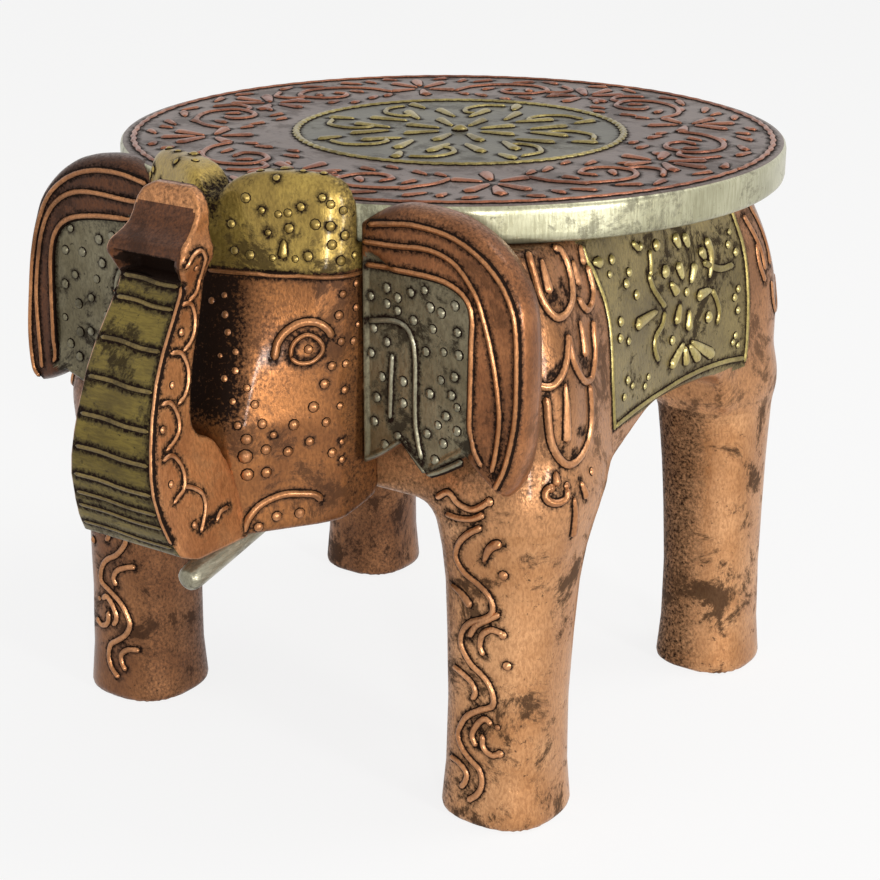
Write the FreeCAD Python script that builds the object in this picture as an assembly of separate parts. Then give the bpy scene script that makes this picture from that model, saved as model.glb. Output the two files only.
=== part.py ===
import FreeCAD, Part
import math
import os

# Carved elephant stool: a round seat board on the back of a carved elephant.
# Lengths are millimetres. X runs across the stool, to the elephant's left.
# The elephant looks along -Y, and Z = 0 is the floor.
# A reach is a distance from the seat's axis, towards the front unless it says rump.
# The finished pieces are moved along Y so that the origin lies under the middle
# of the whole stool.

# Seat board
seat_diameter = 232.0
seat_thickness = 12.0
seat_height = 203.0
seat_edge_chamfer = 1.2

# Torso block, with an arch cut through it from side to side
joint_height = 104.0
glue_plane_reach = 99.0
rump_reach = 82.0
shoulder_half_width = 104.0
waist_half_width = 91.5
rump_half_width = 100.5
waist_place = 2.0
shoulder_round = 22.0
waist_round = 260.0
rump_round = 25.0
flank_draw_in = 17.0
waist_draw_in = 7.0
rump_draw_in = 13.0
draw_in_height = 136.0
torso_level_shares = (0, 0.37, 0.55, 0.7, 0.82, 0.92, 1)
torso_chords = 6
belly_height = 124.0
arch_corner_round = 9.0
arch_crown_round = 45.0
arch_shares = ((0, 0), (0.06, 0.5), (0.42, 1), (0.93, 0.93), (1, 0))

# Legs: the widths run from the foot's edge up to the joint
foot_edge_height = 1.2
front_foot_width = 39.6
front_foot_spacing = 159.0
front_foot_reach = 82.0
front_leg_top_width = 47.0
front_leg_top_depth = 40.0
rear_foot_width = 36.4
rear_foot_spacing = 160.4
rear_foot_reach = 58.2
rear_leg_top_width = 41.0
rear_leg_top_depth = 44.0
leg_top_inset = 2.0
leg_level_shares = (0, 0.16, 0.38, 0.6, 0.77, 0.88, 0.95)
leg_width_shares = (1, 0.935, 0.915, 0.95, 0.995, 1.055, 1.15)
foot_sole_share = 0.95
leg_facets = 20
leg_squareness = 2.6

# Head
head_half_width = 41.0
chin_height = 101.0
jaw_rise = 5.0
muzzle_reach = 146.0
muzzle_half_width = 17.5
muzzle_top_height = 137.0
jaw_setback_share = 0.72
jaw_half_width = 39.0
brow_setback_share = 0.255
brow_half_width = 9.5
brow_drop = 30.0
temple_setback_share = 0.575
cheek_chamfer = 5.0
dome_rise = 10.0
dome_round = 15.0
groove_half_width = 8.0
groove_depth = 13.0
groove_round = 4.0

# Trunk, a sawn plank that rises in front of the face
trunk_depth = 33.0
trunk_root_half_width = 18.8
trunk_half_width = 16.8
trunk_neck_half_width = 13.0
trunk_waist_height = 118.0
trunk_bend_height = 146.0
trunk_bottom_round = 22.0
trunk_bend_round = 60.0
trunk_back_gap = 13.0
trunk_back_height = 152.0
trunk_back_round = 30.0
trunk_gap_round = 7.0
mouth_height = 184.5
mouth_gap = 11.0
mouth_depth = 6.5
lip_height = 193.4
lip_gap = 13.3
lip_thickness = 2.8
tip_height = 210.5
tip_gap = 2.0
tip_thickness = 5.2
tip_face_slope = 4.0
tip_round = 9.0
lip_round = 0.8

# Ears, boards that lie flat against the shoulders
ear_thickness = 11.0
left_ear_half_span = 101.5
right_ear_half_span = 105.5
ear_top_height = 204.5
ear_lobe_height = 119.5
ear_edge_chamfer = 2.5
ear_chamfer_from_share = 0.7
ear_recess_depth = 1.4
ear_round_balance = 0.72
left_ear_shares = (
    (0, 1, 0),
    (0.64, 1, 0.4),
    (0.92, 0.87, 0.4),
    (1, 0.45, 0.8),
    (1, 0.06, 0),
    (0.9, 0, 0),
    (0.64, 0.125, 0),
    (0.42, 0.005, 0),
    (0.24, 0.11, 0),
    (0, 0, 0),
)
right_ear_shares = (
    (0, 1, 0),
    (0.6, 0.99, 0.4),
    (0.87, 0.82, 0.5),
    (1, 0.25, 0.8),
    (0.98, 0.04, 0),
    (0.92, 0, 0),
    (0.7, 0.09, 0),
    (0.46, 0.005, 0),
    (0.24, 0.11, 0),
    (0, 0, 0),
)
ear_field_shares = (
    (0.05, 0.8, 0.02),
    (0.52, 0.8, 0.2),
    (0.64, 0.62, 0.4),
    (0.62, 0.28, 0.4),
    (0.69, 0.17, 0.02),
    (0.42, 0.05, 0.02),
    (0.24, 0.16, 0.02),
    (0.05, 0.08, 0.02),
)

# Tusks, pegs let into the jaw's underside
tusk_diameter = 8.5
tusk_spacing = 30.0
tusk_slope_degrees = 14.2
tusk_tip_height = 91.9
left_tusk_length = 47.5
right_tusk_length = 32.0
tusk_root_share = 0.64
tusk_tip_chamfer = 1.8

# Tail, a carved strip pegged to the rump
tail_top_height = 178.0
tail_length = 66.0
tail_width = 15.0
tail_thickness = 7.0
tail_edge_chamfer = 1.5
tail_level_shares = (0, 0.3, 0.55, 0.7, 0.82, 1)
tail_width_shares = (0.6, 0.55, 0.5, 0.7, 1, 0.35)

# Wooden pegs in blind holes
leg_peg_diameter = 12.0
leg_peg_length = 44.0
head_peg_diameter = 10.0
head_peg_length = 40.0
head_peg_spacing = 46.0
trunk_peg_diameter = 6.0
trunk_peg_length = 22.0
trunk_peg_spacing = 18.0
ear_peg_diameter = 5.0
ear_peg_length = 22.0
ear_peg_shares = (0.3, 0.72)
seat_peg_diameter = 10.0
seat_peg_length = 30.0
seat_peg_in_board = 7.0
seat_peg_spacing = 120.0
tail_peg_diameter = 4.0
tail_peg_length = 9.0
peg_clearance = 0.1
peg_end_gap = 1.0

# Clearances
scribed_clearance = 0.3
cut_overrun = 5.0

# Sizes that follow from the ones above
seat_radius = seat_diameter / 2
seat_underside = seat_height - seat_thickness
trunk_reach = muzzle_reach + trunk_depth
seat_axis_y = (trunk_reach - seat_radius) / 2
front_arch_y = front_leg_top_depth + leg_top_inset - glue_plane_reach
rear_arch_y = rump_reach - rear_leg_top_depth - leg_top_inset
ear_reach = glue_plane_reach + ear_thickness
dome_height = seat_height + dome_rise
brow_height = dome_height - brow_drop
head_depth = muzzle_reach - glue_plane_reach
brow_reach = muzzle_reach - head_depth * brow_setback_share
jaw_reach = muzzle_reach - head_depth * jaw_setback_share
temple_reach = muzzle_reach - head_depth * temple_setback_share
trunk_back_reach = muzzle_reach + trunk_back_gap
mouth_reach = muzzle_reach + mouth_gap
lip_reach = muzzle_reach + lip_gap
tip_reach = muzzle_reach + tip_gap
tusk_root_reach = muzzle_reach - head_depth * tusk_root_share
left_tusk_reach = tusk_root_reach + left_tusk_length
right_tusk_reach = tusk_root_reach + right_tusk_length

Vector = FreeCAD.Vector
left = Vector(1, 0, 0)
backward = Vector(0, 1, 0)
upward = Vector(0, 0, 1)


def flat(height):
    """Lay an outline's points (across, along) flat at a height."""
    return lambda across, along: Vector(across, along, height)


def facing_front(y):
    """Stand an outline's points (across, up) on a plane across the stool."""
    return lambda across, up: Vector(across, y, up)


def facing_side(x):
    """Stand an outline's points (along, up) on a plane along the stool."""
    return lambda along, up: Vector(x, along, up)


def tangent_arcs(corners):
    """Round the (u, v, radius) corners of a closed outline by tangent arcs.

    At a corner that turns by an angle, the arc starts and stops at
    radius * tan(angle / 2) from the corner, and its centre lies
    radius / cos(angle / 2) inside it. Each arc is given as start, centre, stop and radius.
    """
    points = [Vector(u, v, 0) for u, v, radius in corners]
    arcs = []
    for index, point in enumerate(points):
        radius = corners[index][2]
        into = (point - points[index - 1]).normalize()
        out = (points[(index + 1) % len(points)] - point).normalize()
        half_turn = into.getAngle(out) / 2
        cut = radius * math.tan(half_turn)
        centre = point + (out - into).normalize() * (radius / math.cos(half_turn))
        arcs.append((point - into * cut, centre, point + out * cut, radius))
    return arcs


def rounded_outline(corners, place):
    """Close a wire of lines and arcs through rounded corners."""
    arcs = tangent_arcs(corners)
    edges = []
    for index, (start, centre, stop, radius) in enumerate(arcs):
        if radius > 0:
            middle = centre + ((start + stop) / 2 - centre).normalize() * radius
            three = [place(p.x, p.y) for p in (start, middle, stop)]
            edges.append(Part.Arc(*three).toShape())
        following = arcs[(index + 1) % len(arcs)][0]
        line = Part.LineSegment(place(stop.x, stop.y), place(following.x, following.y))
        edges.append(line.toShape())
    return Part.Wire(edges)


def chorded_outline(corners, chords, place):
    """List the points of an outline whose rounded corners are each cut into equal chords."""
    points = []
    for start, centre, stop, radius in tangent_arcs(corners):
        for index in range(chords + 1):
            share = index / chords
            spoke = start * (1 - share) + stop * share - centre
            point = centre + spoke.normalize() * radius
            points.append(place(point.x, point.y))
    return points


def both_halves(corners):
    """Add the mirror image of an outline's right half, in reverse, to close it."""
    return corners + [(-u, v, radius) for u, v, radius in reversed(corners)]


def prism(corners, place, sweep):
    return Part.Face(rounded_outline(corners, place)).extrude(sweep)


def faceted(sections):
    """Close a solid with flat facets through a stack of outlines with matching corners.

    Each four-sided gap between two outlines is filled by two triangles that meet on its
    shorter diagonal. Triangles that lie in one plane are merged afterwards.
    """
    faces = [Part.Face(Part.makePolygon(ends + ends[:1])) for ends in (sections[0], sections[-1])]
    for lower, upper in zip(sections, sections[1:]):
        for index in range(len(lower)):
            low, next_low = lower[index - 1], lower[index]
            high, next_high = upper[index - 1], upper[index]
            if (next_high - low).Length < (high - next_low).Length:
                triangles = ((low, next_low, next_high), (low, next_high, high))
            else:
                triangles = ((low, next_low, high), (next_low, next_high, high))
            for first, second, third in triangles:
                faces.append(Part.Face(Part.makePolygon([first, second, third, first])))
    return Part.makeSolid(Part.makeShell(faces)).removeSplitter()


def peg(diameter, length, middle, direction):
    """A peg with half its length on each side of its middle."""
    return Part.makeCylinder(diameter / 2, length, middle - direction * (length / 2), direction)


def peg_group(diameter, length, middles, direction):
    return Part.Compound([peg(diameter, length, middle, direction) for middle in middles])


def drilled(shape, diameter, length, middles, direction):
    """Drill the blind holes that take a group of pegs."""
    for middle in middles:
        hole = peg(diameter + 2 * peg_clearance, length + 2 * peg_end_gap, middle, direction)
        shape = shape.cut(hole)
    return shape


def pair(x, y, z):
    """The same point on the left and on the right."""
    return [Vector(x, y, z), Vector(-x, y, z)]


def mirrored(shape):
    return shape.mirror(Vector(0, 0, 0), left)


def drawn_in(draw_in, height):
    """How far a side has drawn in at a height: nothing, then along an arc that ends at the seat.

    An arc that starts upright and draws in by d over a rise h has the radius
    (h^2 + d^2) / (2 * d).
    """
    rise = seat_underside - draw_in_height
    radius = (rise ** 2 + draw_in ** 2) / (2 * draw_in)
    climb = max(height - draw_in_height, 0)
    return radius - math.sqrt(radius ** 2 - climb ** 2)


def rump_y(height):
    return rump_reach - drawn_in(rump_draw_in, height)


# Centres of the leg tops, set in a little from the torso's outer faces
front_leg_top = Vector(
    shoulder_half_width - leg_top_inset - front_leg_top_width / 2,
    front_arch_y - front_leg_top_depth / 2,
    joint_height,
)
rear_leg_top = Vector(
    rump_half_width - leg_top_inset - rear_leg_top_width / 2,
    rear_arch_y + rear_leg_top_depth / 2,
    joint_height,
)

# Middles of the pegs, which each lie on a glue line
leg_pegs = pair(*front_leg_top) + pair(*rear_leg_top)
head_peg_height = (joint_height + seat_underside) / 2
head_pegs = pair(head_peg_spacing / 2, -glue_plane_reach, head_peg_height)
trunk_peg_height = (chin_height + muzzle_top_height) / 2
trunk_pegs = pair(trunk_peg_spacing / 2, -muzzle_reach, trunk_peg_height)
ear_pegs = []
for ear_peg_share in ear_peg_shares:
    ear_peg_height = ear_lobe_height + (ear_top_height - ear_lobe_height) * ear_peg_share
    ear_pegs += pair(head_half_width, -glue_plane_reach - ear_thickness / 2, ear_peg_height)
seat_peg_height = seat_underside + seat_peg_in_board - seat_peg_length / 2
seat_pegs = pair(seat_peg_spacing / 2, 0, seat_peg_height)
tail_peg_height = tail_top_height - tail_width
tail_pegs = [Vector(0, rump_y(tail_peg_height), tail_peg_height)]


def seat():
    """A sawn disc with chamfered edges."""
    board = Part.makeCylinder(seat_radius, seat_thickness, Vector(0, 0, seat_underside), upward)
    board = board.makeChamfer(seat_edge_chamfer, board.Edges)
    return drilled(board, seat_peg_diameter, seat_peg_length, seat_pegs, upward)


def side_arch():
    """The opening between the front and rear legs, cut right across the stool."""
    span = rear_arch_y - front_arch_y
    rise = belly_height - joint_height
    rounds = (0, arch_corner_round, arch_crown_round, arch_corner_round, 0)
    corners = [(front_arch_y, joint_height - cut_overrun, 0)]
    for (along, up), radius in zip(arch_shares, rounds):
        corners.append((front_arch_y + span * along, joint_height + rise * up, radius))
    corners.append((rear_arch_y, joint_height - cut_overrun, 0))
    half_width = shoulder_half_width + cut_overrun
    return prism(corners, facing_side(-half_width), left * (2 * half_width))


def torso_section(height):
    flanks = drawn_in(flank_draw_in, height)
    corners = [
        (shoulder_half_width - flanks, -glue_plane_reach, shoulder_round),
        (waist_half_width - drawn_in(waist_draw_in, height), waist_place, waist_round),
        (rump_half_width - flanks, rump_y(height), rump_round),
    ]
    return chorded_outline(both_halves(corners), torso_chords, flat(height))


def body():
    """The torso: a block carved in flat facets that draw in towards the seat, arched between the legs."""
    levels = [joint_height + (seat_underside - joint_height) * share for share in torso_level_shares]
    torso = faceted([torso_section(height) for height in levels])
    torso = torso.cut(side_arch())
    torso = drilled(torso, leg_peg_diameter, leg_peg_length, leg_pegs, upward)
    torso = drilled(torso, head_peg_diameter, head_peg_length, head_pegs, backward)
    torso = drilled(torso, seat_peg_diameter, seat_peg_length, seat_pegs, upward)
    return drilled(torso, tail_peg_diameter, tail_peg_length, tail_pegs, backward)


def leg_section(x, y, height, width, depth):
    """Flat facets wrapped round a superellipse. They face the same way at every height.

    A facet that faces an angle lies (|width / 2 * cos|^q + |depth / 2 * sin|^q)^(1 / q)
    from the middle, where q = squareness / (squareness - 1). Each corner is where two
    neighbouring facets cross.
    """
    power = leg_squareness / (leg_squareness - 1)
    step = 2 * math.pi / leg_facets

    def distance(angle):
        across = abs(width / 2 * math.cos(angle)) ** power
        along = abs(depth / 2 * math.sin(angle)) ** power
        return (across + along) ** (1 / power)

    corners = []
    for index in range(leg_facets):
        first = index * step
        second = first + step
        across = distance(first) * math.sin(second) - distance(second) * math.sin(first)
        along = distance(second) * math.cos(first) - distance(first) * math.cos(second)
        corners.append(Vector(x + across / math.sin(step), y + along / math.sin(step), height))
    return corners


def leg(foot_x, foot_y, foot_width, top, top_width, top_depth):
    """A carved leg of rounded square section, narrow at the ankle and flared at both ends.

    Its centre line leans from the foot to the top with the square of the height.
    """
    levels = [(0, foot_width * foot_sole_share, foot_width * foot_sole_share)]
    for level_share, width_share in zip(leg_level_shares, leg_width_shares):
        height = foot_edge_height + (joint_height - foot_edge_height) * level_share
        levels.append((height, foot_width * width_share, foot_width * width_share))
    levels.append((joint_height, top_width, top_depth))
    sections = []
    for height, width, depth in levels:
        lean = (height / joint_height) ** 2
        x = foot_x + (top.x - foot_x) * lean
        y = foot_y + (top.y - foot_y) * lean
        sections.append(leg_section(x, y, height, width, depth))
    return drilled(faceted(sections), leg_peg_diameter, leg_peg_length, [top], upward)


def head_section(height, front_half, front_reach, side_half, side_reach):
    """Plan of the head: a blunt wedge that points forward from the ears."""
    right = [
        Vector(front_half, -front_reach, height),
        Vector(side_half - cheek_chamfer / 2, -side_reach - cheek_chamfer / 2, height),
        Vector(side_half, cheek_chamfer - side_reach, height),
        Vector(side_half, -glue_plane_reach, height),
    ]
    return right + [Vector(-corner.x, corner.y, corner.z) for corner in reversed(right)]


def head_side_prism():
    """Side view of the head: the rising jaw line and the domes' rounded brow."""
    wide = head_half_width + cut_overrun
    brow_lean = (muzzle_reach - brow_reach) / (brow_height - muzzle_top_height)
    foot = muzzle_reach + cut_overrun
    crown = foot - brow_lean * (dome_height - chin_height)
    corners = [
        (-foot, chin_height, 0),
        (-jaw_reach, chin_height, dome_round),
        (-glue_plane_reach, chin_height + jaw_rise, 0),
        (-glue_plane_reach, dome_height, 0),
        (-crown, dome_height, dome_round),
    ]
    return prism(corners, facing_side(-wide), left * (2 * wide))


def head_front_prism():
    """Front view of the head: two domes with a groove between them."""
    deep = muzzle_reach + cut_overrun
    corners = [
        (head_half_width + cut_overrun, chin_height - cut_overrun, 0),
        (head_half_width, dome_height, dome_round),
        (groove_half_width, dome_height, groove_half_width),
        (groove_half_width / 2, dome_height - groove_depth, groove_round / 2),
    ]
    return prism(both_halves(corners), facing_front(-deep), backward * deep)


def head():
    """The head block, scribed to the seat board's edge at the back of its domes."""
    blank = faceted(
        [
            head_section(chin_height - cut_overrun, muzzle_half_width, muzzle_reach, jaw_half_width, jaw_reach),
            head_section(muzzle_top_height, muzzle_half_width, muzzle_reach, head_half_width, jaw_reach),
            head_section(brow_height, brow_half_width, brow_reach, head_half_width, temple_reach),
            head_section(dome_height + cut_overrun, brow_half_width, brow_reach, head_half_width, temple_reach),
        ]
    )
    block = blank.common(head_side_prism()).common(head_front_prism())
    block = block.cut(seat_clearance())
    block = drilled(block, head_peg_diameter, head_peg_length, head_pegs, backward)
    block = drilled(block, trunk_peg_diameter, trunk_peg_length, trunk_pegs, backward)
    block = drilled(block, ear_peg_diameter, ear_peg_length, ear_pegs, left)
    for side in (1, -1):
        block = block.cut(tusk_rod(side, tusk_root_reach - peg_end_gap, muzzle_reach, tusk_diameter / 2 + peg_clearance))
    return block


def seat_clearance():
    """The space that the seat board takes out of the head and the ears."""
    height = seat_thickness + cut_overrun * 2
    return Part.makeCylinder(seat_radius + scribed_clearance, height, Vector(0, 0, seat_underside), upward)


def trunk():
    """A plank sawn to an S in side view, tapered in front view, with an open mouth at its tip."""
    side_view = [
        (-muzzle_reach, chin_height, 0),
        (-trunk_reach, chin_height, trunk_bottom_round),
        (-trunk_reach, trunk_bend_height, trunk_bend_round),
        (-mouth_reach, mouth_height, lip_round),
        (mouth_depth - mouth_reach, mouth_height, lip_round),
        (-lip_reach, lip_height, lip_round),
        (-tip_reach - tip_face_slope, lip_height + lip_thickness, lip_round),
        (-tip_reach, tip_height, lip_round),
        (tip_thickness - tip_reach, tip_height, lip_round),
        (tip_thickness - tip_reach - lip_round, lip_height, trunk_back_round),
        (-trunk_back_reach, trunk_back_height, trunk_back_round),
        (-trunk_back_reach, muzzle_top_height, trunk_gap_round),
        (-muzzle_reach, muzzle_top_height, 0),
    ]
    front_view = [
        (trunk_root_half_width, chin_height - cut_overrun, 0),
        (trunk_half_width, trunk_waist_height, trunk_bend_round),
        (trunk_neck_half_width, mouth_height, trunk_bend_round),
        (trunk_neck_half_width, tip_height, tip_round),
    ]
    wide = trunk_root_half_width + cut_overrun
    deep = trunk_reach + cut_overrun
    plank = prism(side_view, facing_side(-wide), left * (2 * wide))
    plank = plank.common(prism(both_halves(front_view), facing_front(-deep), backward * deep))
    return drilled(plank, trunk_peg_diameter, trunk_peg_length, trunk_pegs, backward)


def ear_corners(shares, half_span):
    """Corners of an ear outline, with rounds that are shares of the board's smaller side."""
    width = half_span - head_half_width
    height = ear_top_height - ear_lobe_height
    smaller = min(width, height * ear_round_balance)
    return [
        (head_half_width + width * across, ear_lobe_height + height * up, smaller * turn)
        for across, up, turn in shares
    ]


def ear(shares, half_span):
    """An ear for the left side: a board with a chamfered outer edge and a sunk inner field."""
    outline = ear_corners(shares, half_span)
    board = prism(outline, facing_front(-ear_reach), backward * ear_thickness)
    chamfer_from = head_half_width + (half_span - head_half_width) * ear_chamfer_from_share
    outer = [
        edge
        for edge in board.Edges
        if edge.BoundBox.YMax < -ear_reach + scribed_clearance
        and edge.BoundBox.XMax > chamfer_from
        and edge.BoundBox.ZMin > ear_lobe_height + ear_edge_chamfer
    ]
    board = board.makeChamfer(ear_edge_chamfer, outer)
    field_outline = ear_corners(ear_field_shares, half_span)
    field = prism(field_outline, facing_front(-ear_reach - cut_overrun), backward * cut_overrun)
    field.translate(backward * ear_recess_depth)
    board = board.cut(field)
    board = board.cut(seat_clearance())
    return drilled(board, ear_peg_diameter, ear_peg_length, ear_pegs, left)


def tusk_rod(side, root_reach, tip_reach_forward, radius):
    """A rod on a tusk's line, which drops towards its tip. The side is 1 on the left and -1 on the right."""
    slope = math.tan(math.radians(tusk_slope_degrees))
    root_height = tusk_tip_height + (left_tusk_reach - root_reach) * slope
    tip_height_here = tusk_tip_height + (left_tusk_reach - tip_reach_forward) * slope
    root = Vector(side * tusk_spacing / 2, -root_reach, root_height)
    tip = Vector(side * tusk_spacing / 2, -tip_reach_forward, tip_height_here)
    line = tip - root
    return Part.makeCylinder(radius, line.Length, root, line)


def tusk(side, reach):
    rod = tusk_rod(side, tusk_root_reach, reach, tusk_diameter / 2)
    tip_edges = [edge for edge in rod.Edges if edge.BoundBox.YMax < tusk_diameter - reach and edge.Closed]
    return rod.makeChamfer(tusk_tip_chamfer, tip_edges)


def tail():
    """A strip with a tuft at its end, shaped to the slope of the rump."""
    sections = []
    for level_share, width_share in zip(tail_level_shares, tail_width_shares):
        height = tail_top_height - tail_length * level_share
        half = tail_width * width_share / 2
        inner = rump_y(height) + scribed_clearance
        outer = inner + tail_thickness * (1 - level_share / 2)
        corners = [(half, inner), (half, outer - tail_edge_chamfer), (half - tail_edge_chamfer, outer)]
        corners += [(-across, along) for across, along in reversed(corners)]
        sections.append([Vector(across, along, height) for across, along in corners])
    return drilled(faceted(sections), tail_peg_diameter, tail_peg_length, tail_pegs, backward)


def save(name, shape):
    """Move a piece to the stool's own origin and write it."""
    piece = shape.copy()
    piece.translate(backward * seat_axis_y)
    piece.exportStep("parts/" + name + ".step")
    print(name, len(piece.Solids), "solid", round(piece.Volume), "mm3", "valid", piece.isValid())


os.makedirs("parts", exist_ok=True)
front_leg = leg(
    front_foot_spacing / 2, -front_foot_reach, front_foot_width,
    front_leg_top, front_leg_top_width, front_leg_top_depth,
)
rear_leg = leg(
    rear_foot_spacing / 2, rear_foot_reach, rear_foot_width,
    rear_leg_top, rear_leg_top_width, rear_leg_top_depth,
)

save("seat", seat())
save("seat_pegs", peg_group(seat_peg_diameter, seat_peg_length, seat_pegs, upward))
save("body", body())
save("leg_front_left", front_leg)
save("leg_front_right", mirrored(front_leg))
save("leg_rear_left", rear_leg)
save("leg_rear_right", mirrored(rear_leg))
save("leg_pegs", peg_group(leg_peg_diameter, leg_peg_length, leg_pegs, upward))
save("head", head())
save("head_pegs", peg_group(head_peg_diameter, head_peg_length, head_pegs, backward))
save("trunk", trunk())
save("trunk_pegs", peg_group(trunk_peg_diameter, trunk_peg_length, trunk_pegs, backward))
save("ear_left", ear(left_ear_shares, left_ear_half_span))
save("ear_right", mirrored(ear(right_ear_shares, right_ear_half_span)))
save("ear_pegs", peg_group(ear_peg_diameter, ear_peg_length, ear_pegs, left))
save("tusk_left", tusk(1, left_tusk_reach))
save("tusk_right", tusk(-1, right_tusk_reach))
save("tail", tail())
save("tail_peg", peg_group(tail_peg_diameter, tail_peg_length, tail_pegs, backward))
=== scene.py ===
# %% [markdown]
# # A carved elephant stool
# The real stool is mango wood: a round board on the back of a carved elephant. It was
# painted in metallic acrylics, raised lines were piped on from a paper cone, and a dark
# wash was rubbed in and wiped off again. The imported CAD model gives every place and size.

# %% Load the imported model
import math

import bmesh
import bpy
import numpy as np
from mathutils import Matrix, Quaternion, Vector


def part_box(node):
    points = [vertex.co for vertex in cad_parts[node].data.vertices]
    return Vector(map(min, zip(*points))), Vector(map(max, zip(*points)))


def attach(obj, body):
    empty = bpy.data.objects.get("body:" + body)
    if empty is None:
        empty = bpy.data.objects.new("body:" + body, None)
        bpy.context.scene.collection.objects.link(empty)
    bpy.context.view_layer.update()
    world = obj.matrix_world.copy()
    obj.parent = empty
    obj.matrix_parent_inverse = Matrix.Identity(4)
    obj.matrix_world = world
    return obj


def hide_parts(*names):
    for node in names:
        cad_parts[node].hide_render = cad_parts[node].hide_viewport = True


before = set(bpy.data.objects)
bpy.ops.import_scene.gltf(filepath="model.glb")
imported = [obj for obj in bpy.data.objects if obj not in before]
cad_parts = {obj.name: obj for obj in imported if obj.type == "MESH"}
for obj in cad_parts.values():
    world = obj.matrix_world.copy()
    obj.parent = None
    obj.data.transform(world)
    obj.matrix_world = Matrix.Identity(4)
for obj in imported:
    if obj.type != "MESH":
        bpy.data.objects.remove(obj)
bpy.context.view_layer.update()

print("CAD nodes:", len(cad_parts))

# %% [markdown]
# ## Units
# Shapes are thought out in millimetres, measured from the seat's axis, because that is how
# a carpenter would mark out the block. X runs to the elephant's left, the elephant looks
# along -Y and Z is height above the floor. One function turns them into the model's metres.

# %% Millimetres from the seat's axis
seat_low, seat_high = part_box("seat")
axis_y = (seat_low.y + seat_high.y) * 500
seat_radius = min(-seat_low.x, seat_high.x) * 1000
seat_top = seat_high.z * 1000
seat_bottom = seat_low.z * 1000
print("seat radius", round(seat_radius, 2), "top", round(seat_top, 2), "axis at y", round(axis_y, 2))


def metres(points):
    """Points in millimetres from the seat's axis, as metres in the model's frame."""
    return (np.asarray(points, float) + (0, axis_y, 0)) / 1000


# %% Put arrays into a mesh
def make_piece(name, points, faces, slot, *nodes):
    """Make an object from points in millimetres and faces that list their corners."""
    mesh = bpy.data.meshes.new(name)
    mesh.from_pydata(metres(points), [], faces)
    mesh.polygons.foreach_set("use_smooth", [True] * len(mesh.polygons))
    piece = bpy.data.objects.new(name, mesh)
    bpy.context.scene.collection.objects.link(piece)
    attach(piece, "root")
    if nodes:
        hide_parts(*nodes)
    print(name, len(points), "points", len(faces), "faces")
    return piece


def grid_faces(rows, columns):
    """Four-sided faces of a grid of points that is open along its rows and closed round its columns."""
    row, column = np.mgrid[0:rows - 1, 0:columns]
    beside = (column + 1) % columns
    corners = (row * columns + column, row * columns + beside,
               (row + 1) * columns + beside, (row + 1) * columns + column)
    return np.stack(corners, -1).reshape(-1, 4)


def closed_stack(rings):
    """Points and faces of a stack of rings. A flat face closes the first ring and the last."""
    rows, columns = rings.shape[:2]
    faces = grid_faces(rows, columns).tolist()
    faces.append(list(range(columns))[::-1])
    faces.append(list(range((rows - 1) * columns, rows * columns)))
    return rings.reshape(-1, 3), faces


# %% [markdown]
# ## Curves through a few points
# A carver's outline and a painter's stroke are both drawn through a few places. A
# Catmull-Rom curve passes through every one of them and bends smoothly in between.

# %% Smooth curve
def smooth_curve(places, closed=False, spacing=1.0):
    """Points at an even spacing along the Catmull-Rom curve through some places.

    Between b and c, with neighbours a and d, the point at share t is
    half of 2b + (c - a)t + (2a - 5b + 4c - d)t^2 + (3b - a - 3c + d)t^3.
    """
    places = np.asarray(places, float)
    if closed:
        around = np.concatenate([places[-1:], places, places[:2]])
    else:
        around = np.concatenate([2 * places[:1] - places[1:2], places, 2 * places[-1:] - places[-2:-1]])
    a, b, c, d = (around[k:len(around) - 3 + k, None] for k in range(4))
    t = np.linspace(0, 1, 12, endpoint=False)[None, :, None]
    curve = 2 * b + (c - a) * t
    curve = curve + (2 * a - 5 * b + 4 * c - d) * t ** 2
    curve = 0.5 * (curve + (3 * b - a - 3 * c + d) * t ** 3)
    curve = np.concatenate([curve.reshape(-1, places.shape[1]), around[-2:-1]])
    lengths = np.concatenate([[0], np.cumsum(np.linalg.norm(np.diff(curve, axis=0), axis=1))])
    count = max(int(round(lengths[-1] / spacing)), 3)
    even = np.linspace(0, lengths[-1], count + 1)
    if closed:
        even = even[:-1]
    return np.stack([np.interp(even, lengths, column) for column in curve.T], -1)


def smooth_step(low, high, value):
    """0 up to the low value, 1 from the high value, and 3s^2 - 2s^3 in between."""
    s = np.clip((value - low) / (high - low), 0, 1)
    return s * s * (3 - 2 * s)


# %% [markdown]
# ## Carving with distances
# The torso grows into its legs and the domes into the brow, so these blocks have no single
# grid of rows and columns. They are described by a field: the distance from any point to
# the wood's surface, negative inside. The larger of two distances keeps what both shapes
# share, the smaller one joins them, and rounding the choice gives a knife's soft edges.

# %% Joining and cutting distances
def rounded_max(a, b, radius):
    """What two shapes share, with its edge rounded.

    Within the radius of both faces the distance is that of a circle: the length of
    (a + radius, b + radius), less the radius.
    """
    corner = np.hypot(np.maximum(a + radius, 0), np.maximum(b + radius, 0))
    return np.minimum(np.maximum(a, b), -radius) + corner


def melted_min(a, b, reach):
    """Two shapes joined with a soft fillet: the smaller distance, less a quarter of the reach
    times the square of how nearly equal the two distances are."""
    near = np.maximum(reach - np.abs(a - b), 0) / reach
    return np.minimum(a, b) - near * near * reach / 4


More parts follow.
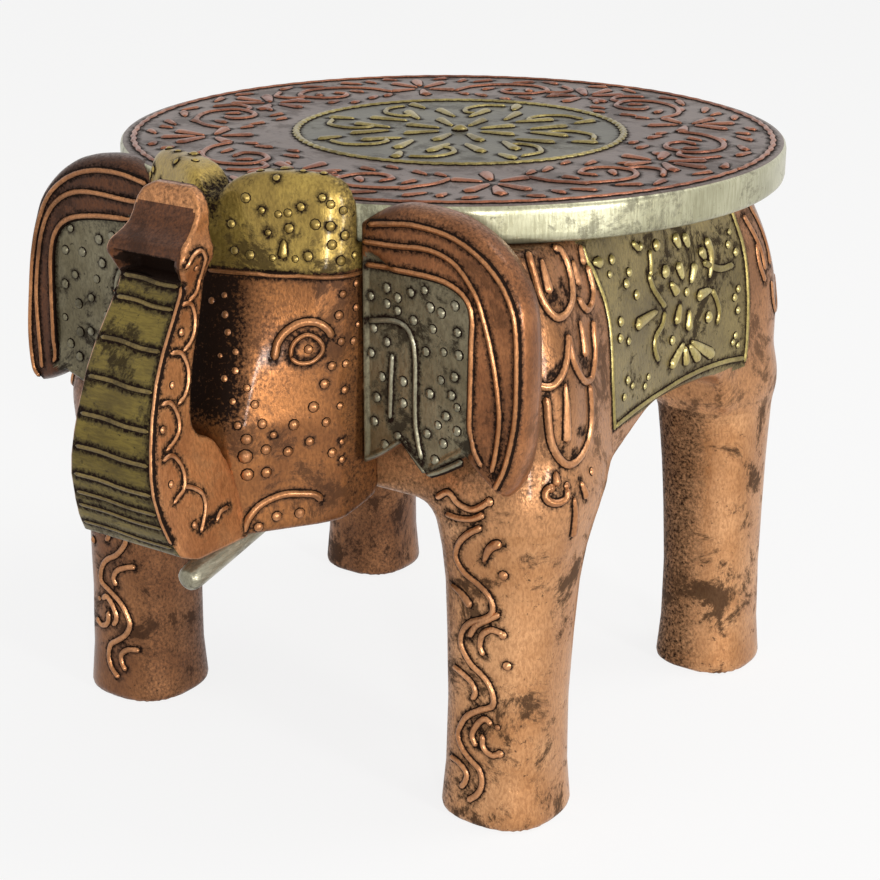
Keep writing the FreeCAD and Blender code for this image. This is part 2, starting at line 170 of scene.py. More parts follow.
def outline_distance(outline, u, v):
    """Distance to a closed outline: that of its nearest edge, negative inside."""
    nearest = np.full(np.broadcast(u, v).shape, np.inf)
    inside = np.zeros(nearest.shape, bool)
    for (u0, v0), (u1, v1) in zip(outline, np.roll(outline, -1, axis=0)):
        du, dv = u1 - u0, v1 - v0
        along = np.clip(((u - u0) * du + (v - v0) * dv) / (du * du + dv * dv), 0, 1)
        nearest = np.minimum(nearest, (u - u0 - along * du) ** 2 + (v - v0 - along * dv) ** 2)
        crosses = (v0 > v) != (v1 > v)
        inside ^= crosses & (u - u0 < (v - v0) * du / (dv if dv else 1))
    return np.where(inside, -1, 1) * np.sqrt(nearest)


def slope(field, points):
    """The direction in which a field grows fastest, from differences 0.1 mm apart."""
    columns = []
    for axis in np.eye(3) * 0.05:
        ahead, behind = (points + axis).T, (points - axis).T
        columns.append((field(*ahead) - field(*behind)) / 0.1)
    return np.stack(columns, -1)


def settle(field, points, steps=3):
    """Slide points along the slope on to the surface, at most 1 mm in each step."""
    for _ in range(steps):
        grows = slope(field, points)
        push = field(*points.T)[:, None] * grows / np.maximum((grows ** 2).sum(1, keepdims=True), 0.05)
        length = np.linalg.norm(push, axis=1, keepdims=True)
        points = points - push * np.minimum(1, 1 / np.maximum(length, 1e-9))
    return points


# %% Skin of a field
def skin(field, low, high, step):
    """Points and four-sided faces on the surface where a field is zero.

    The box is divided into cubes. Each cube that the surface enters gets one point, the
    mean of where the surface cuts the cube's edges. Every cut edge joins the points of
    the four cubes round it into a face. The points then slide on to the exact surface.
    """
    ticks = [np.arange(a - 2 * step, b + 3 * step, step) for a, b in zip(low, high)]
    values = field(*np.meshgrid(*ticks, indexing="ij", sparse=True))
    wood = values < 0
    wide, deep, tall = np.array(wood.shape) - 1
    full = sum(wood[i:wide + i, j:deep + j, k:tall + k].astype(np.int8)
               for i in (0, 1) for j in (0, 1) for k in (0, 1))
    cubes = np.argwhere((full > 0) & (full < 8))
    number = np.full(full.shape, -1)
    number[tuple(cubes.T)] = np.arange(len(cubes))
    total = np.zeros(cubes.shape)
    cuts = np.zeros((len(cubes), 1))
    faces = []
    for axis in range(3):
        along = np.eye(3, dtype=int)[axis]
        side, rise = np.eye(3, dtype=int)[(axis + 1) % 3], np.eye(3, dtype=int)[(axis + 2) % 3]
        for corner in (0 * side, side, rise, side + rise):
            start, end = cubes + corner, cubes + corner + along
            first, last = values[tuple(start.T)], values[tuple(end.T)]
            cut = (first < 0) != (last < 0)
            share = np.where(cut, first / np.where(cut, first - last, 1), 0)
            total += np.where(cut[:, None], start + along * share[:, None], 0)
            cuts += cut[:, None]
        keep = [slice(1, -1)] * 3
        keep[axis] = slice(0, -1)
        ahead = [slice(1, -1)] * 3
        ahead[axis] = slice(1, None)
        first, last = wood[tuple(keep)], wood[tuple(ahead)]
        edges = np.argwhere(first != last) + 1 - along
        four = [number[tuple((edges - back).T)] for back in (0 * side, side, side + rise, rise)]
        loop = np.stack(four, -1)
        leaving = first[first != last]
        faces.append(np.where(leaving[:, None], loop, loop[:, ::-1]))
    origin = np.array([tick[0] for tick in ticks])
    points = origin + step * total / cuts
    return settle(field, points), np.concatenate(faces)


# %% [markdown]
# ## Torso and legs
# The real torso and legs are blocks glued together and carved as one, so no joint shows.
# They could be lofted separately, but then each leg would meet the belly in a hard line.
# Here one field holds them all. Its skin is made once and sawn at the glue line, so the
# pieces stay separate and still flow into each other.

# %% Torso
glue_y = -99.0
joint_z = 104.0
upright_to = 136
waist_y, rump_reach = 2, 82
shoulder_half, waist_half, rump_half = 104, 91.5, 99.6
shoulder_draw_in, waist_draw_in, rump_draw_in, back_draw_in = 17, 7, 16, 13


def draw_in(most, z):
    """How far a side has drawn in at a height: an arc that starts upright at 136 mm and
    has gone in by the given amount at the seat."""
    rise = seat_bottom - upright_to
    radius = (rise ** 2 + most ** 2) / (2 * most)
    return radius - np.sqrt(radius ** 2 - np.clip(z - upright_to, 0, rise) ** 2)


arch = smooth_curve([(-57, 60), (-57, 95), (-56, 107), (-51.5, 113.5), (-38, 118.3), (-20, 124),
                     (-6, 124.6), (10, 123.8), (25, 122), (33, 118), (36, 108), (36.5, 95), (36.5, 60)],
                    closed=True, spacing=4)


def torso_field(x, y, z):
    """A block whose plan narrows at the waist and whose sides draw in towards the seat,
    with the arch taken out from side to side."""
    shoulder = shoulder_half - draw_in(shoulder_draw_in, z)
    waist = waist_half - draw_in(waist_draw_in, z)
    rump = rump_half - draw_in(rump_draw_in, z)
    rump_y = rump_reach - draw_in(back_draw_in, z)
    ahead = shoulder + (waist - shoulder) * (y - glue_y) / (waist_y - glue_y)
    behind = waist + (rump - waist) * (y - waist_y) / (rump_y - waist_y)
    half = -melted_min(-ahead, -behind, 10)
    plan = rounded_max(rounded_max(np.abs(x) - half, glue_y - y, 22), y - rump_y, 25)
    block = rounded_max(rounded_max(plan, z - seat_bottom + 0.3, 3), joint_z + 3 - z, 5)
    return rounded_max(block, -outline_distance(arch, y, z), 4)


# %% Legs
leg_shares = (0, 0.02, 0.16, 0.38, 0.6, 0.77, 0.88, 0.95, 1, 1.3)
front_widths = (0.97, 1, 0.94, 0.925, 0.965, 1.015, 1.09, 1.17, 1.23, 1.25)
rear_widths = (0.97, 1, 0.935, 0.915, 0.95, 0.99, 1.03, 1.06, 1.08, 1.08)
front_foot, front_top, front_width = (79.5, -82), (78.5, -77), 39.6
rear_foot, rear_top, rear_width = (80.2, 58.2), (78, 58), 36.4


def leg_field(x, y, z, foot, top, width, widths):
    """A column of rounded square section, as wide at each share of its height as the table of
    widths says. Its middle leans from the foot to the top with the square of the height. The
    distance is r (1 - 1/q), where q is the superellipse's ((|x|/a)^2.6 + (|y|/a)^2.6)^(1/2.6)."""
    share = np.clip(z / joint_z, 0, 1.3)
    half = width / 2 * np.interp(share, leg_shares, widths)
    across = np.abs(x - foot[0] - (top[0] - foot[0]) * share ** 2)
    along = np.abs(y - foot[1] - (top[1] - foot[1]) * share ** 2)
    q = ((across / half) ** 2.6 + (along / half) ** 2.6 + 1e-9) ** (1 / 2.6)
    column = np.hypot(across, along) * (1 - 1 / q)
    return rounded_max(rounded_max(column, -z, 1.2), z - 124, 10)


def elephant_field(x, y, z):
    """Torso and four legs. The two sides are mirror images, so only |x| is used."""
    x = np.abs(x)
    front = leg_field(x, y, z, front_foot, front_top, front_width, front_widths)
    rear = leg_field(x, y, z, rear_foot, rear_top, rear_width, rear_widths)
    return melted_min(torso_field(x, y, z), np.minimum(front, rear), 7)


elephant_points, elephant_faces = skin(elephant_field, (-105, -100, 0), (105, 83, 191), 1.6)
print("torso and legs:", len(elephant_points), "points")


# %% Saw the legs off at the glue line
def sawn(name, slot, node, cuts):
    """A copy of the carved block, cut by planes and closed again. A plane is a point and the
    direction that is thrown away."""
    piece = make_piece(name, elephant_points, elephant_faces, slot, node)
    work = bmesh.new()
    work.from_mesh(piece.data)
    for place, away in cuts:
        parts = work.verts[:] + work.edges[:] + work.faces[:]
        made = bmesh.ops.bisect_plane(work, geom=parts, dist=1e-6, clear_outer=True,
                                      plane_co=metres(place), plane_no=away)
        rim = [part for part in made["geom_cut"] if isinstance(part, bmesh.types.BMEdge)]
        if rim:
            bmesh.ops.triangle_fill(work, edges=rim, use_beauty=True, normal=away)
        for edge in rim:
            edge.smooth = False
    bmesh.ops.recalc_face_normals(work, faces=work.faces[:])
    work.to_mesh(piece.data)
    work.free()
    return piece


torso = sawn("carved_torso", "copper_paint", "body", [((0, 0, joint_z), (0, 0, -1))])
legs = []
for node in ("leg_front_left", "leg_front_right", "leg_rear_left", "leg_rear_right"):
    outward = 1 if node.endswith("left") else -1
    ahead = -1 if "front" in node else 1
    planes = [((0, 0, joint_z), (0, 0, 1)), ((0, 0, 0), (-outward, 0, 0)), ((0, -10, 0), (0, -ahead, 0))]
    legs.append(sawn("carved_" + node, "copper_paint", node, planes))

# %% [markdown]
# ## Head
# A blunt wedge with two domes. It is carved too, so it gets a field: the wedge's plan, the
# side view's jaw and brow, and the front view's domes all have to hold.

# %% Head
domes = smooth_curve([(-41.5, 60), (-41.3, 188), (-40.9, 200), (-38.8, 206.8), (-33.5, 210.5), (-25, 211.3),
                      (-15, 211.1), (-9, 209.7), (-5.8, 207.2), (-3.2, 204.2), (0, 203), (3.2, 204.2),
                      (5.8, 207.2), (9, 209.7), (15, 211.1), (25, 211.3), (33.5, 210.5), (38.8, 206.8),
                      (40.9, 200), (41.3, 188), (41.5, 60)], closed=True, spacing=2)


def face_lean(z):
    """0 up to the muzzle's height of 137 mm, and 1 from the brow's height of 183 mm."""
    return np.clip((z - 137) / 46, 0, 1)


def nose_edge(z):
    """Where the flat front meets the cheek: how far from the middle, and how far ahead."""
    return 17.5 - 8 * face_lean(z), -146 + 12 * face_lean(z)


def head_field(x, y, z):
    """The wedge narrows and leans back above the muzzle. The brow bends back with the square of
    the height above 158 mm, the domes lean back evenly, and the gold cap stands 0.7 mm proud."""
    x = np.abs(x)
    nose_half, nose_y = nose_edge(z)
    side_half = 39 + 2 * np.clip((z - 96) / 41, 0, 1)
    side_y = -112.2 - 6.8 * face_lean(z)
    length = np.hypot(side_half - nose_half, side_y - nose_y)
    brow = 1.7 * np.clip((z - 158) / 25, 0, 1) ** 2
    dome = 0.16 * np.clip(z - 183, 0, 17) + 1.2 * np.clip((z - 198) / 10, 0, 1.3) ** 2
    cheek = ((x - nose_half) * (side_y - nose_y) - (y - nose_y) * (side_half - nose_half)) / length
    cheek = cheek + brow + dome
    wedge = rounded_max(rounded_max(nose_y - y, cheek, 7), x - side_half, 8)
    jaw = rounded_max(wedge, 101 + 5 * np.clip((y + 112) / 13, 0, 1) - z, 2.5)
    crown = np.maximum(z - 201, 0)
    front = rounded_max(jaw, nose_y - y + crown ** 2 / 22, 2)
    block = rounded_max(front, outline_distance(domes, x, z), 3)
    scribed = rounded_max(block, np.where(z > seat_bottom, seat_radius + 0.3 - np.hypot(x, y), -9.0), 0.5)
    cap = 0.7 * smooth_step(-0.4, 0.4, z - cap_line(x, y))
    return np.maximum(scribed, y - glue_y) - cap


def cap_line(x, y):
    """Height of the cap's lower edge, which waves a little as a brush line does."""
    return 182.4 + 0.35 * np.sin(0.2 * x) + 0 * y


head_points, head_faces = skin(head_field, (-43, -148, 100), (43, -98, 214), 1.25)
head = make_piece("carved_head", head_points, head_faces.tolist(), "copper_paint", "head")

# %% [markdown]
# ## Seat board
# A sawn disc, turned on its axis: a profile of radius and height carried round a circle.

# %% Seat board
turns = np.linspace(0, 2 * math.pi, 480, endpoint=False)
top_rings = [(r, seat_top) for r in np.linspace(1, seat_radius - 2, 76)]
rim_rings = [(seat_radius - 0.9, seat_top - 0.25), (seat_radius - 0.25, seat_top - 0.9),
             (seat_radius, seat_top - 2)]
rim_rings += [(seat_radius, z) for z in np.linspace(seat_top - 3, seat_bottom + 2, 6)]
rim_rings += [(seat_radius - 0.3, seat_bottom + 0.8), (seat_radius - 1.2, seat_bottom)]
rim_rings += [(r, seat_bottom) for r in (110, 80, 40, 1)]
profile = np.array(top_rings + rim_rings)
disc = np.stack([profile[:, None, 0] * np.cos(turns), profile[:, None, 0] * np.sin(turns),
                 profile[:, None, 1] + 0 * turns], -1)
seat_points, seat_faces = closed_stack(disc[::-1])
seat = make_piece("seat_board", seat_points, seat_faces, "seat_paint", "seat")

# %% [markdown]
# ## Trunk
# Sawn from a plank in side view, then tapered. Every height has one front, one back and one
# width, so the trunk is a stack of rounded rectangles.

# %% Trunk
def rounded_rectangle(half_across, half_along, corner, edge_steps=16, arc_steps=4):
    """Outlines of rectangles with round corners, as a share of each edge plus a unit arc."""
    edge = np.linspace(-1, 1, edge_steps, endpoint=False)
    arc = np.linspace(0, math.pi / 2, arc_steps, endpoint=False)
    straight, bend = [], []
    for quarter in range(4):
        turn = np.array([[math.cos(quarter * math.pi / 2), math.sin(quarter * math.pi / 2)],
                         [-math.sin(quarter * math.pi / 2), math.cos(quarter * math.pi / 2)]])
        straight.append(np.stack([edge, edge * 0 - 1], -1) @ turn)
        bend.append(np.stack([edge * 0, edge * 0 - 1], -1) @ turn)
        straight.append(np.tile([1, -1], (arc_steps, 1)) @ turn)
        bend.append(np.stack([np.sin(arc), -np.cos(arc)], -1) @ turn)
    straight, bend = np.concatenate(straight), np.concatenate(bend)
    halves = np.stack([half_across, half_along], -1)[:, None] - corner
    return straight * halves + bend * corner


trunk_front_z = (101, 102.5, 104, 107, 110, 116.5, 124.8, 131, 138.7, 148.1, 157.8, 165.8, 174.9, 180.8,
                 184, 187, 190.5, 192.5, 193.4, 194.5, 195.5, 197, 199, 202, 206, 209, 210.5)
trunk_front_y = (-164, -168, -170.6, -172.3, -173.8, -176, -177.8, -177.9, -176.8, -174.6, -171.4, -167.4,
                 -161.6, -158, -157, -158.6, -160.2, -159.9, -159.3, -158.9, -157.5, -154.8, -152.4,
                 -150.4, -149, -148.2, -146.6)
trunk_back_z = (101, 127, 131, 134.5, 136.4, 137.4, 141, 145, 152, 163, 170, 180, 190, 200, 210.5)
trunk_back_y = (-146, -146, -147.4, -149.8, -152.6, -155.6, -158.3, -158.6, -157.5, -154.5, -151.5, -148.5,
                -145.5, -144, -143)
trunk_wide_z = (101, 104, 108, 118, 131, 150, 170, 184, 188, 191, 193.5, 196, 199, 203, 206, 208.5, 210,
                210.5)
trunk_wide = (20.4, 20.6, 19.9, 18.3, 17.1, 15.4, 13.9, 13, 14.2, 15.4, 15.2, 13.8, 13, 12.9, 12.2, 10.6,
              8.2, 6.8)
rib_heights = (107.3, 114, 118.7, 125, 134, 144, 155, 166, 177, 183.2)


def trunk_front(z):
    """How far forward the trunk reaches, from its foot over the bulge and up to the flared lip."""
    return np.interp(z, trunk_front_z, trunk_front_y)


def trunk_half(z):
    return np.interp(z, trunk_wide_z, trunk_wide)


levels = np.concatenate([np.arange(101, 184.4, 0.75),
                         [184.4, 184.7, 186, 187.5, 189, 190.5, 191.4, 191.8, 192.4, 193, 193.5, 194.2,
                          195], np.arange(196, 208, 1.0), [208.3, 209, 209.6, 210.1, 210.5]])
front, back = trunk_front(levels), np.interp(levels, trunk_back_z, trunk_back_y)
section = rounded_rectangle(trunk_half(levels), (back - front) / 2, 1.6, 22)
wide_x = section[..., 0]
deep_y = section[..., 1] + ((front + back) / 2)[:, None]
high_z = levels[:, None] + 0 * wide_x

# %% [markdown]
# The open mouth is a pocket between two side walls. At the foot both sides of the trunk run
# further back than its middle, because the face slants away from it there.

# %% Mouth and foot
mouth_low, mouth_high, mouth_back = 184.5, 191.6, -150.5
in_mouth = (high_z > mouth_low) & (high_z < mouth_high) & (section[..., 1] < 0)
pocket = smooth_step(11.8, 10.6, np.abs(wide_x)) * in_mouth
deep_y = deep_y + pocket * (mouth_back - deep_y)
foot_reach = np.interp(high_z, (101, 108.5, 117.5, 125, 129), (6.5, 7, 4.5, 1.5, 0))
deep_y = deep_y + foot_reach * smooth_step(13, 17, np.abs(wide_x)) * (section[..., 1] > 0)
trunk_points, trunk_faces = closed_stack(np.stack([wide_x, deep_y, high_z], -1))
trunk = make_piece("sawn_trunk", trunk_points, trunk_faces, "copper_paint", "trunk")

# %% [markdown]
# ## Ears
# Boards cut to an outline and laid flat on the shoulders. Rings shrink from the edge to the
# middle, on the front and on the back, and the paint's field lies a little lower.

# %% Ears
def ear_board(name, node, outline, field_outline):
    """A board 11 mm thick. A point is the middle plus the outline's own offset times a share."""
    outline = smooth_outline(outline)
    middle = np.array([outline[:, 0].mean(), 162.0])
    rings = []
    for share, y in ([(s, -110) for s in np.linspace(0.01, 0.9, 34)]
                     + [(0.93, -109.8), (0.96, -109.1), (0.985, -107.8), (1, -105.5), (1, -102.5),
                        (0.99, -99.6), (0.98, -99.3)]
                     + [(s, -99.3) for s in (0.8, 0.4, 0.01)]):
        ring = middle + (outline - middle) * share
        depth = ear_front(ring, field_outline) if y == -110 else y
        rings.append(np.stack([ring[:, 0], depth + 0 * ring[:, 0], ring[:, 1]], -1))
    rings = np.array(rings)
    if outline[:, 0].mean() > 0:
        rings = rings[:, ::-1]
    points, faces = closed_stack(rings)
    return make_piece(name, points, faces, "ear_paint", node)


def smooth_outline(corners):
    """Runs of places between sharp corners, each run a smooth curve."""
    return np.concatenate([smooth_curve(run, spacing=1.2)[:-1] for run in corners])


def ear_front(ring, field_outline):
    """The front stands at y = -110, and 1.3 mm lower inside the field's outline."""
    deep = outline_distance(field_outline, ring[:, 0], ring[:, 1])
    return -110 + 1.3 * smooth_step(0.6, -0.6, deep)


left_outline = [
    [(41, 119.5), (41, 160), (41, 198)],
    [(41, 198), (52, 203.5), (62, 204.2), (75, 202.5), (87, 197), (95, 189), (100, 178), (101.3, 160),
     (101, 145), (100, 134), (97, 124), (94, 119.7)],
    [(94, 119.7), (91, 121), (85, 126), (80.5, 130)],
    [(80.5, 130), (73, 125), (66, 120)],
    [(66, 120), (60, 125), (55.5, 129)],
    [(55.5, 129), (48, 123.5), (41, 119.5)],
]
left_field = smooth_curve([(42, 184), (55, 184.5), (68, 184.3), (75, 183), (80, 180), (82.3, 175),
                           (82.2, 165), (82, 150), (82, 140), (83.5, 134), (80, 129.5), (73, 124),
                           (66, 121), (60, 125), (55.5, 128.5), (48, 122.5), (42, 121)],
                          closed=True, spacing=3)
right_outline = [
    [(-41, 119.5), (-41, 160), (-41, 198)],
    [(-41, 198), (-56, 204.2), (-70.7, 203.7), (-82.5, 199), (-93, 189.5), (-97.7, 180), (-101.3, 167),
     (-103.6, 152), (-105.3, 136), (-104, 124), (-100, 120.2)],
    [(-100, 120.2), (-95, 122), (-88, 126)],
    [(-88, 126), (-79, 123), (-70, 119.8)],
    [(-70, 119.8), (-63, 125), (-56.5, 128.5)],
    [(-56.5, 128.5), (-48, 123.5), (-41, 119.5)],
]
right_field = smooth_curve([(-42, 184.3), (-57, 184.5), (-70, 183.5), (-80, 181), (-86, 176), (-89, 168),
                            (-90, 155), (-90.5, 140), (-91.5, 128), (-79, 124), (-70, 121), (-63, 125),
                            (-56.5, 128), (-48, 123), (-42, 121)], closed=True, spacing=3)
ear_left = ear_board("ear_board_left", "ear_left", left_outline, left_field)
ear_right = ear_board("ear_board_right", "ear_right", right_outline, right_field)

# %% [markdown]
# ## Tusks and tail
# A tusk is a tapered round peg, so a profile turned about its line. The tail is a strip whose
# width follows a profile down to its tuft.

# %% Tusks
tusk_slope = math.radians(14.2)


def tusk_peg(name, node):
    """Rings round a line that drops 14.2 degrees towards the tip, narrowing to a round end."""
    low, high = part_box(node)
    middle_x = (low.x + high.x) * 500
    tip = np.array([middle_x, low.y * 1000 - axis_y, low.z * 1000 + 4.1])
    length = (high.y - low.y) * 1000 / math.cos(tusk_slope) - 2
    line = np.array([0, math.cos(tusk_slope), math.sin(tusk_slope)])
    up = np.cross([1, 0, 0], line)
    along = np.array([0, 0.25, 0.9, 2, 4, 9, 16, 26, length - 1, length])
    radius = np.array([1.4, 2.5, 3.4, 3.9, 4.15, 4.2, 4.25, 4.25, 4.25, 3.6])
    turn = np.linspace(0, 2 * math.pi, 28, endpoint=False)
    rings = (tip + along[:, None, None] * line + radius[:, None, None]
             * (np.cos(turn)[:, None] * np.array([1, 0, 0]) + np.sin(turn)[:, None] * up))
    points, faces = closed_stack(rings)
    return make_piece(name, points, faces, "silver_paint", node)


tusk_left = tusk_peg("turned_tusk_left", "tusk_left")
tusk_right = tusk_peg("turned_tusk_right", "tusk_right")

# %% Tail
tail_z = np.linspace(178, 112, 45)
tail_shares = np.linspace(0, 1, 45)
tail_half = np.interp(tail_shares, (0, 0.03, 0.3, 0.55, 0.7, 0.82, 0.95, 1),
                      (3.4, 4.4, 4.1, 3.7, 5.2, 7.4, 4.4, 2.2))
tail_depth = 7 * (1 - tail_shares / 2)
tail_inner = rump_reach - draw_in(back_draw_in, tail_z) + 0.3
section = rounded_rectangle(tail_half, tail_depth / 2, 1.4, 6)
tail_rings = np.stack([section[..., 0], section[..., 1] + (tail_inner + tail_depth / 2)[:, None],
                       tail_z[:, None] + 0 * section[..., 0]], -1)
tail_points, tail_faces = closed_stack(tail_rings[::-1])
tail = make_piece("carved_tail", tail_points, tail_faces, "copper_paint", "tail")

# %% [markdown]
# ## Metallic paint, rubbed with a dark wash
# The finish is acrylic paint with mica flakes, brushed on and then antiqued: a brown-black
# wash fills every hollow and stays behind in patches. To the eye it is a soft metal with
# brush streaks along the grain, dull where the wash lies. The same dark colour is also painted
# where shade falls, and some sides get a darker copy of their paint as painted shade.
# All colours are written as sRGB.

# %% Colours and nodes
def linear(code):
    """An sRGB hex colour as linear numbers: ((c + 0.055) / 1.055)^2.4, or c / 12.92 below 0.04045."""
    share = np.array([int(code[k:k + 2], 16) for k in (1, 3, 5)]) / 255
    bright = np.where(share <= 0.04045, share / 12.92, ((share + 0.055) / 1.055) ** 2.4)
    return (*bright.tolist(), 1.0)


def add(tree, kind, inputs=(), output=None, **settings):
    """Add a node and give back one of its outputs.

    An input is a socket's name or number with a number, a colour or another node's output.
    """
    node = tree.nodes.new("ShaderNode" + kind)
    for name, value in settings.items():
        setattr(node, name, value)
    sockets = [one for one in node.inputs if one.enabled]
    for name, value in dict(inputs).items():
        if isinstance(name, int):
            socket = sockets[name]
        else:
            socket = next(one for one in sockets if one.name == name)
        if isinstance(value, bpy.types.NodeSocket):
            tree.links.new(value, socket)
        else:
            socket.default_value = value
    return next(one for one in node.outputs if one.enabled and output in (None, one.name))


def per_metre(millimetres):
    """How often a pattern of this size repeats in a metre."""
    return 1000 / millimetres


# The dark of the wash, which also paints shade into recesses.
wash_and_shade_colour = linear("#1a0f09")


def rubbed_paint(name, light, body, deep, grain=(1, 1, 0.5), stained=0.7, roughness=0.3, metallic=0.75,
                 lacquer=0.2, level="wash_and_shade", low=None):
    """Metallic paint whose hollows hold a dark wash and painted shade, under a thin lacquer.

    Soft clouds of 24 mm turn the body colour to the light one, and a fine weave of 0.8 mm along
    the grain turns it a little to the deep one. The wash and the painted shade lie where the piece's
    own level says, made ragged by flecks of 1.1 mm; wash also lies in specks of 2.6 mm and in ragged
    stains of 20 mm. With two low colours, the paint turns to them between 150 and 106 mm above the
    floor, to the first on the elephant's left and to the second, darker one on its right as painted
    shade, so it meets the legs' own paint.
    """
    material = bpy.data.materials.new(name)
    material.use_nodes = True
    tree = material.node_tree
    tree.nodes.clear()
    place = add(tree, "TexCoord", output="Object")
    along = add(tree, "Mapping", {"Vector": place, "Scale": grain})
    clouds = add(tree, "TexNoise", {"Vector": place, "Scale": per_metre(24), "Detail": 4, "Roughness": 0.6})
    weave = add(tree, "TexNoise", {"Vector": along, "Scale": per_metre(0.8), "Detail": 2, "Roughness": 0.6})
    flecks = add(tree, "TexNoise", {"Vector": place, "Scale": per_metre(1.1), "Detail": 2,
                                    "Roughness": 0.7})
    specks = add(tree, "TexNoise", {"Vector": place, "Scale": per_metre(2.6), "Detail": 4,
                                    "Roughness": 0.75})
    stains = add(tree, "TexNoise", {"Vector": place, "Scale": per_metre(20), "Detail": 9,
                                    "Roughness": 0.78, "Distortion": 0.4})
    lighter = add(tree, "MapRange", {"Value": clouds, "From Min": 0.38, "From Max": 0.62})
    deeper = add(tree, "MapRange", {"Value": weave, "From Min": 0.6, "From Max": 0.36, "To Max": 0.4})
    colour = add(tree, "Mix", {"Factor": lighter, "A": linear(body), "B": linear(light)}, data_type="RGBA")
    if low:
        height = add(tree, "SeparateXYZ", {"Vector": place}, output="Z")
        across = add(tree, "SeparateXYZ", {"Vector": place}, output="X")
        down = add(tree, "MapRange", {"Value": height, "From Min": 0.150, "From Max": 0.106})
        # Towards the elephant's right the low colour is the darker one, which is painted shade.
        right = add(tree, "MapRange", {"Value": across, "From Min": 0.03, "From Max": -0.03})
        below = add(tree, "Mix", {"Factor": right, "A": linear(low[0]), "B": linear(low[1])},
                    data_type="RGBA")
        colour = add(tree, "Mix", {"Factor": down, "A": colour, "B": below}, data_type="RGBA")
    colour = add(tree, "Mix", {"Factor": deeper, "A": colour, "B": linear(deep)}, data_type="RGBA")
    own = add(tree, "Attribute", output="Fac", attribute_name=level)
    if level == "crest":
        own = add(tree, "MapRange", {"Value": own, "From Min": 0.5, "From Max": 0.1})
    ragged = add(tree, "Math", {0: flecks, 1: 1.1, 2: -0.55}, operation="MULTIPLY_ADD")
    ragged = add(tree, "Math", {0: own, 1: ragged}, operation="ADD")
    hollow_wash_and_shade = add(tree, "MapRange", {"Value": ragged, "From Min": 0.25, "From Max": 0.8})
    stain = add(tree, "MapRange", {"Value": stains, "From Min": 0.515, "From Max": 0.585,
                                   "To Max": stained})
    speck = add(tree, "MapRange", {"Value": specks, "From Min": 0.62, "From Max": 0.7, "To Max": stained})
    wash_and_shade = add(tree, "Math", {0: hollow_wash_and_shade, 1: stain}, operation="MAXIMUM")
    wash_and_shade = add(tree, "Math", {0: wash_and_shade, 1: speck}, operation="MAXIMUM")
    # This mix paints the wash, and the painted shade that the level holds, in the dark colour.
    colour = add(tree, "Mix", {"Factor": wash_and_shade, "A": colour, "B": wash_and_shade_colour}, data_type="RGBA")
    gloss = add(tree, "MapRange", {"Value": wash_and_shade, "To Min": roughness, "To Max": 0.6})
    gloss = add(tree, "Math", {0: weave, 1: 0.12, 2: gloss}, operation="MULTIPLY_ADD")
    metal = add(tree, "MapRange", {"Value": wash_and_shade, "To Min": metallic, "To Max": 0.05})
    mirror = add(tree, "MapRange", {"Value": wash_and_shade, "To Min": 0.35, "To Max": 0.05})
    clear = add(tree, "MapRange", {"Value": wash_and_shade, "To Min": lacquer, "To Max": 0.0})
    height = add(tree, "Math", {0: flecks, 1: 0.5, 2: weave}, operation="MULTIPLY_ADD")
    relief = add(tree, "Bump", {"Height": height, "Strength": 0.3, "Distance": 0.0003})
    shader = add(tree, "BsdfPrincipled", {"Base Color": colour, "Metallic": metal, "Roughness": gloss,
                                          "Normal": relief, "Specular IOR Level": mirror,
                                          "Coat Weight": clear, "Coat Roughness": 0.14})
    tree.links.new(shader, tree.nodes.new("ShaderNodeOutputMaterial").inputs["Surface"])
    return material


# %% Paints
# Low on the torso the copper turns to the legs' paler copper on the left, and to a darker one on the right
# as painted shade.
copper = rubbed_paint("copper acrylic on the torso", "#a9754c", "#8c5f3a", "#5c381e",
                      low=("#c38d5f", "#86583a"))
leg_copper = rubbed_paint("pale copper acrylic on the legs", "#d09b6c", "#b58052", "#7d4c2a", stained=0.85)
# A darker copy of the leg copper, painted shade for the right legs.
shade_copper = rubbed_paint("copper acrylic on the right legs, darkened as painted shade", "#96653f", "#784c2c", "#4d2d17",
                            stained=0.8)
face_copper = rubbed_paint("copper acrylic on the face", "#9c6537", "#7b4d29", "#4b2c14", stained=0.65)
ear_copper_paint = rubbed_paint("red copper acrylic on the left ear", "#a76e44", "#83522f", "#533017",
                                stained=0.5)
washed_and_shaded_copper = rubbed_paint("dark copper acrylic on the right ear", "#683c1e", "#4c2a13", "#2d170a",
                           stained=0.6)
trunk_copper = rubbed_paint("copper acrylic on the trunk", "#c98b58", "#a97045", "#6b4224", stained=0.35)
mauve_copper = rubbed_paint("mauve copper acrylic on the seat", "#7b6c64", "#685850", "#4d3d37",
                            grain=(0.12, 1, 1), stained=0.4, roughness=0.4, metallic=0.45, lacquer=0.1)
sage_silver = rubbed_paint("sage silver acrylic on the medallion", "#6a6655", "#565244", "#3e3a2e",
                           grain=(0.12, 1, 1), stained=0.4, roughness=0.4, metallic=0.45, lacquer=0.1)
champagne = rubbed_paint("champagne silver acrylic on the rim", "#bcb99c", "#a3a084", "#7b7657",
                         grain=(1, 1, 0.12), stained=0.5)
cap_gold = rubbed_paint("olive gold leaf acrylic on the domes", "#b0954a", "#8b7338", "#54411a",
                        stained=0.8)
saddle_gold = rubbed_paint("olive gold acrylic on the saddle cloth", "#8d7b49", "#6b5b31", "#403518",
                           stained=0.9)
trunk_gold = rubbed_paint("olive gold acrylic on the trunk", "#766528", "#584918", "#332709",
                          grain=(0.2, 1, 1), stained=0.8)
ear_silver = rubbed_paint("green silver acrylic in the ears", "#857d64", "#696047", "#3e3623", stained=0.85)
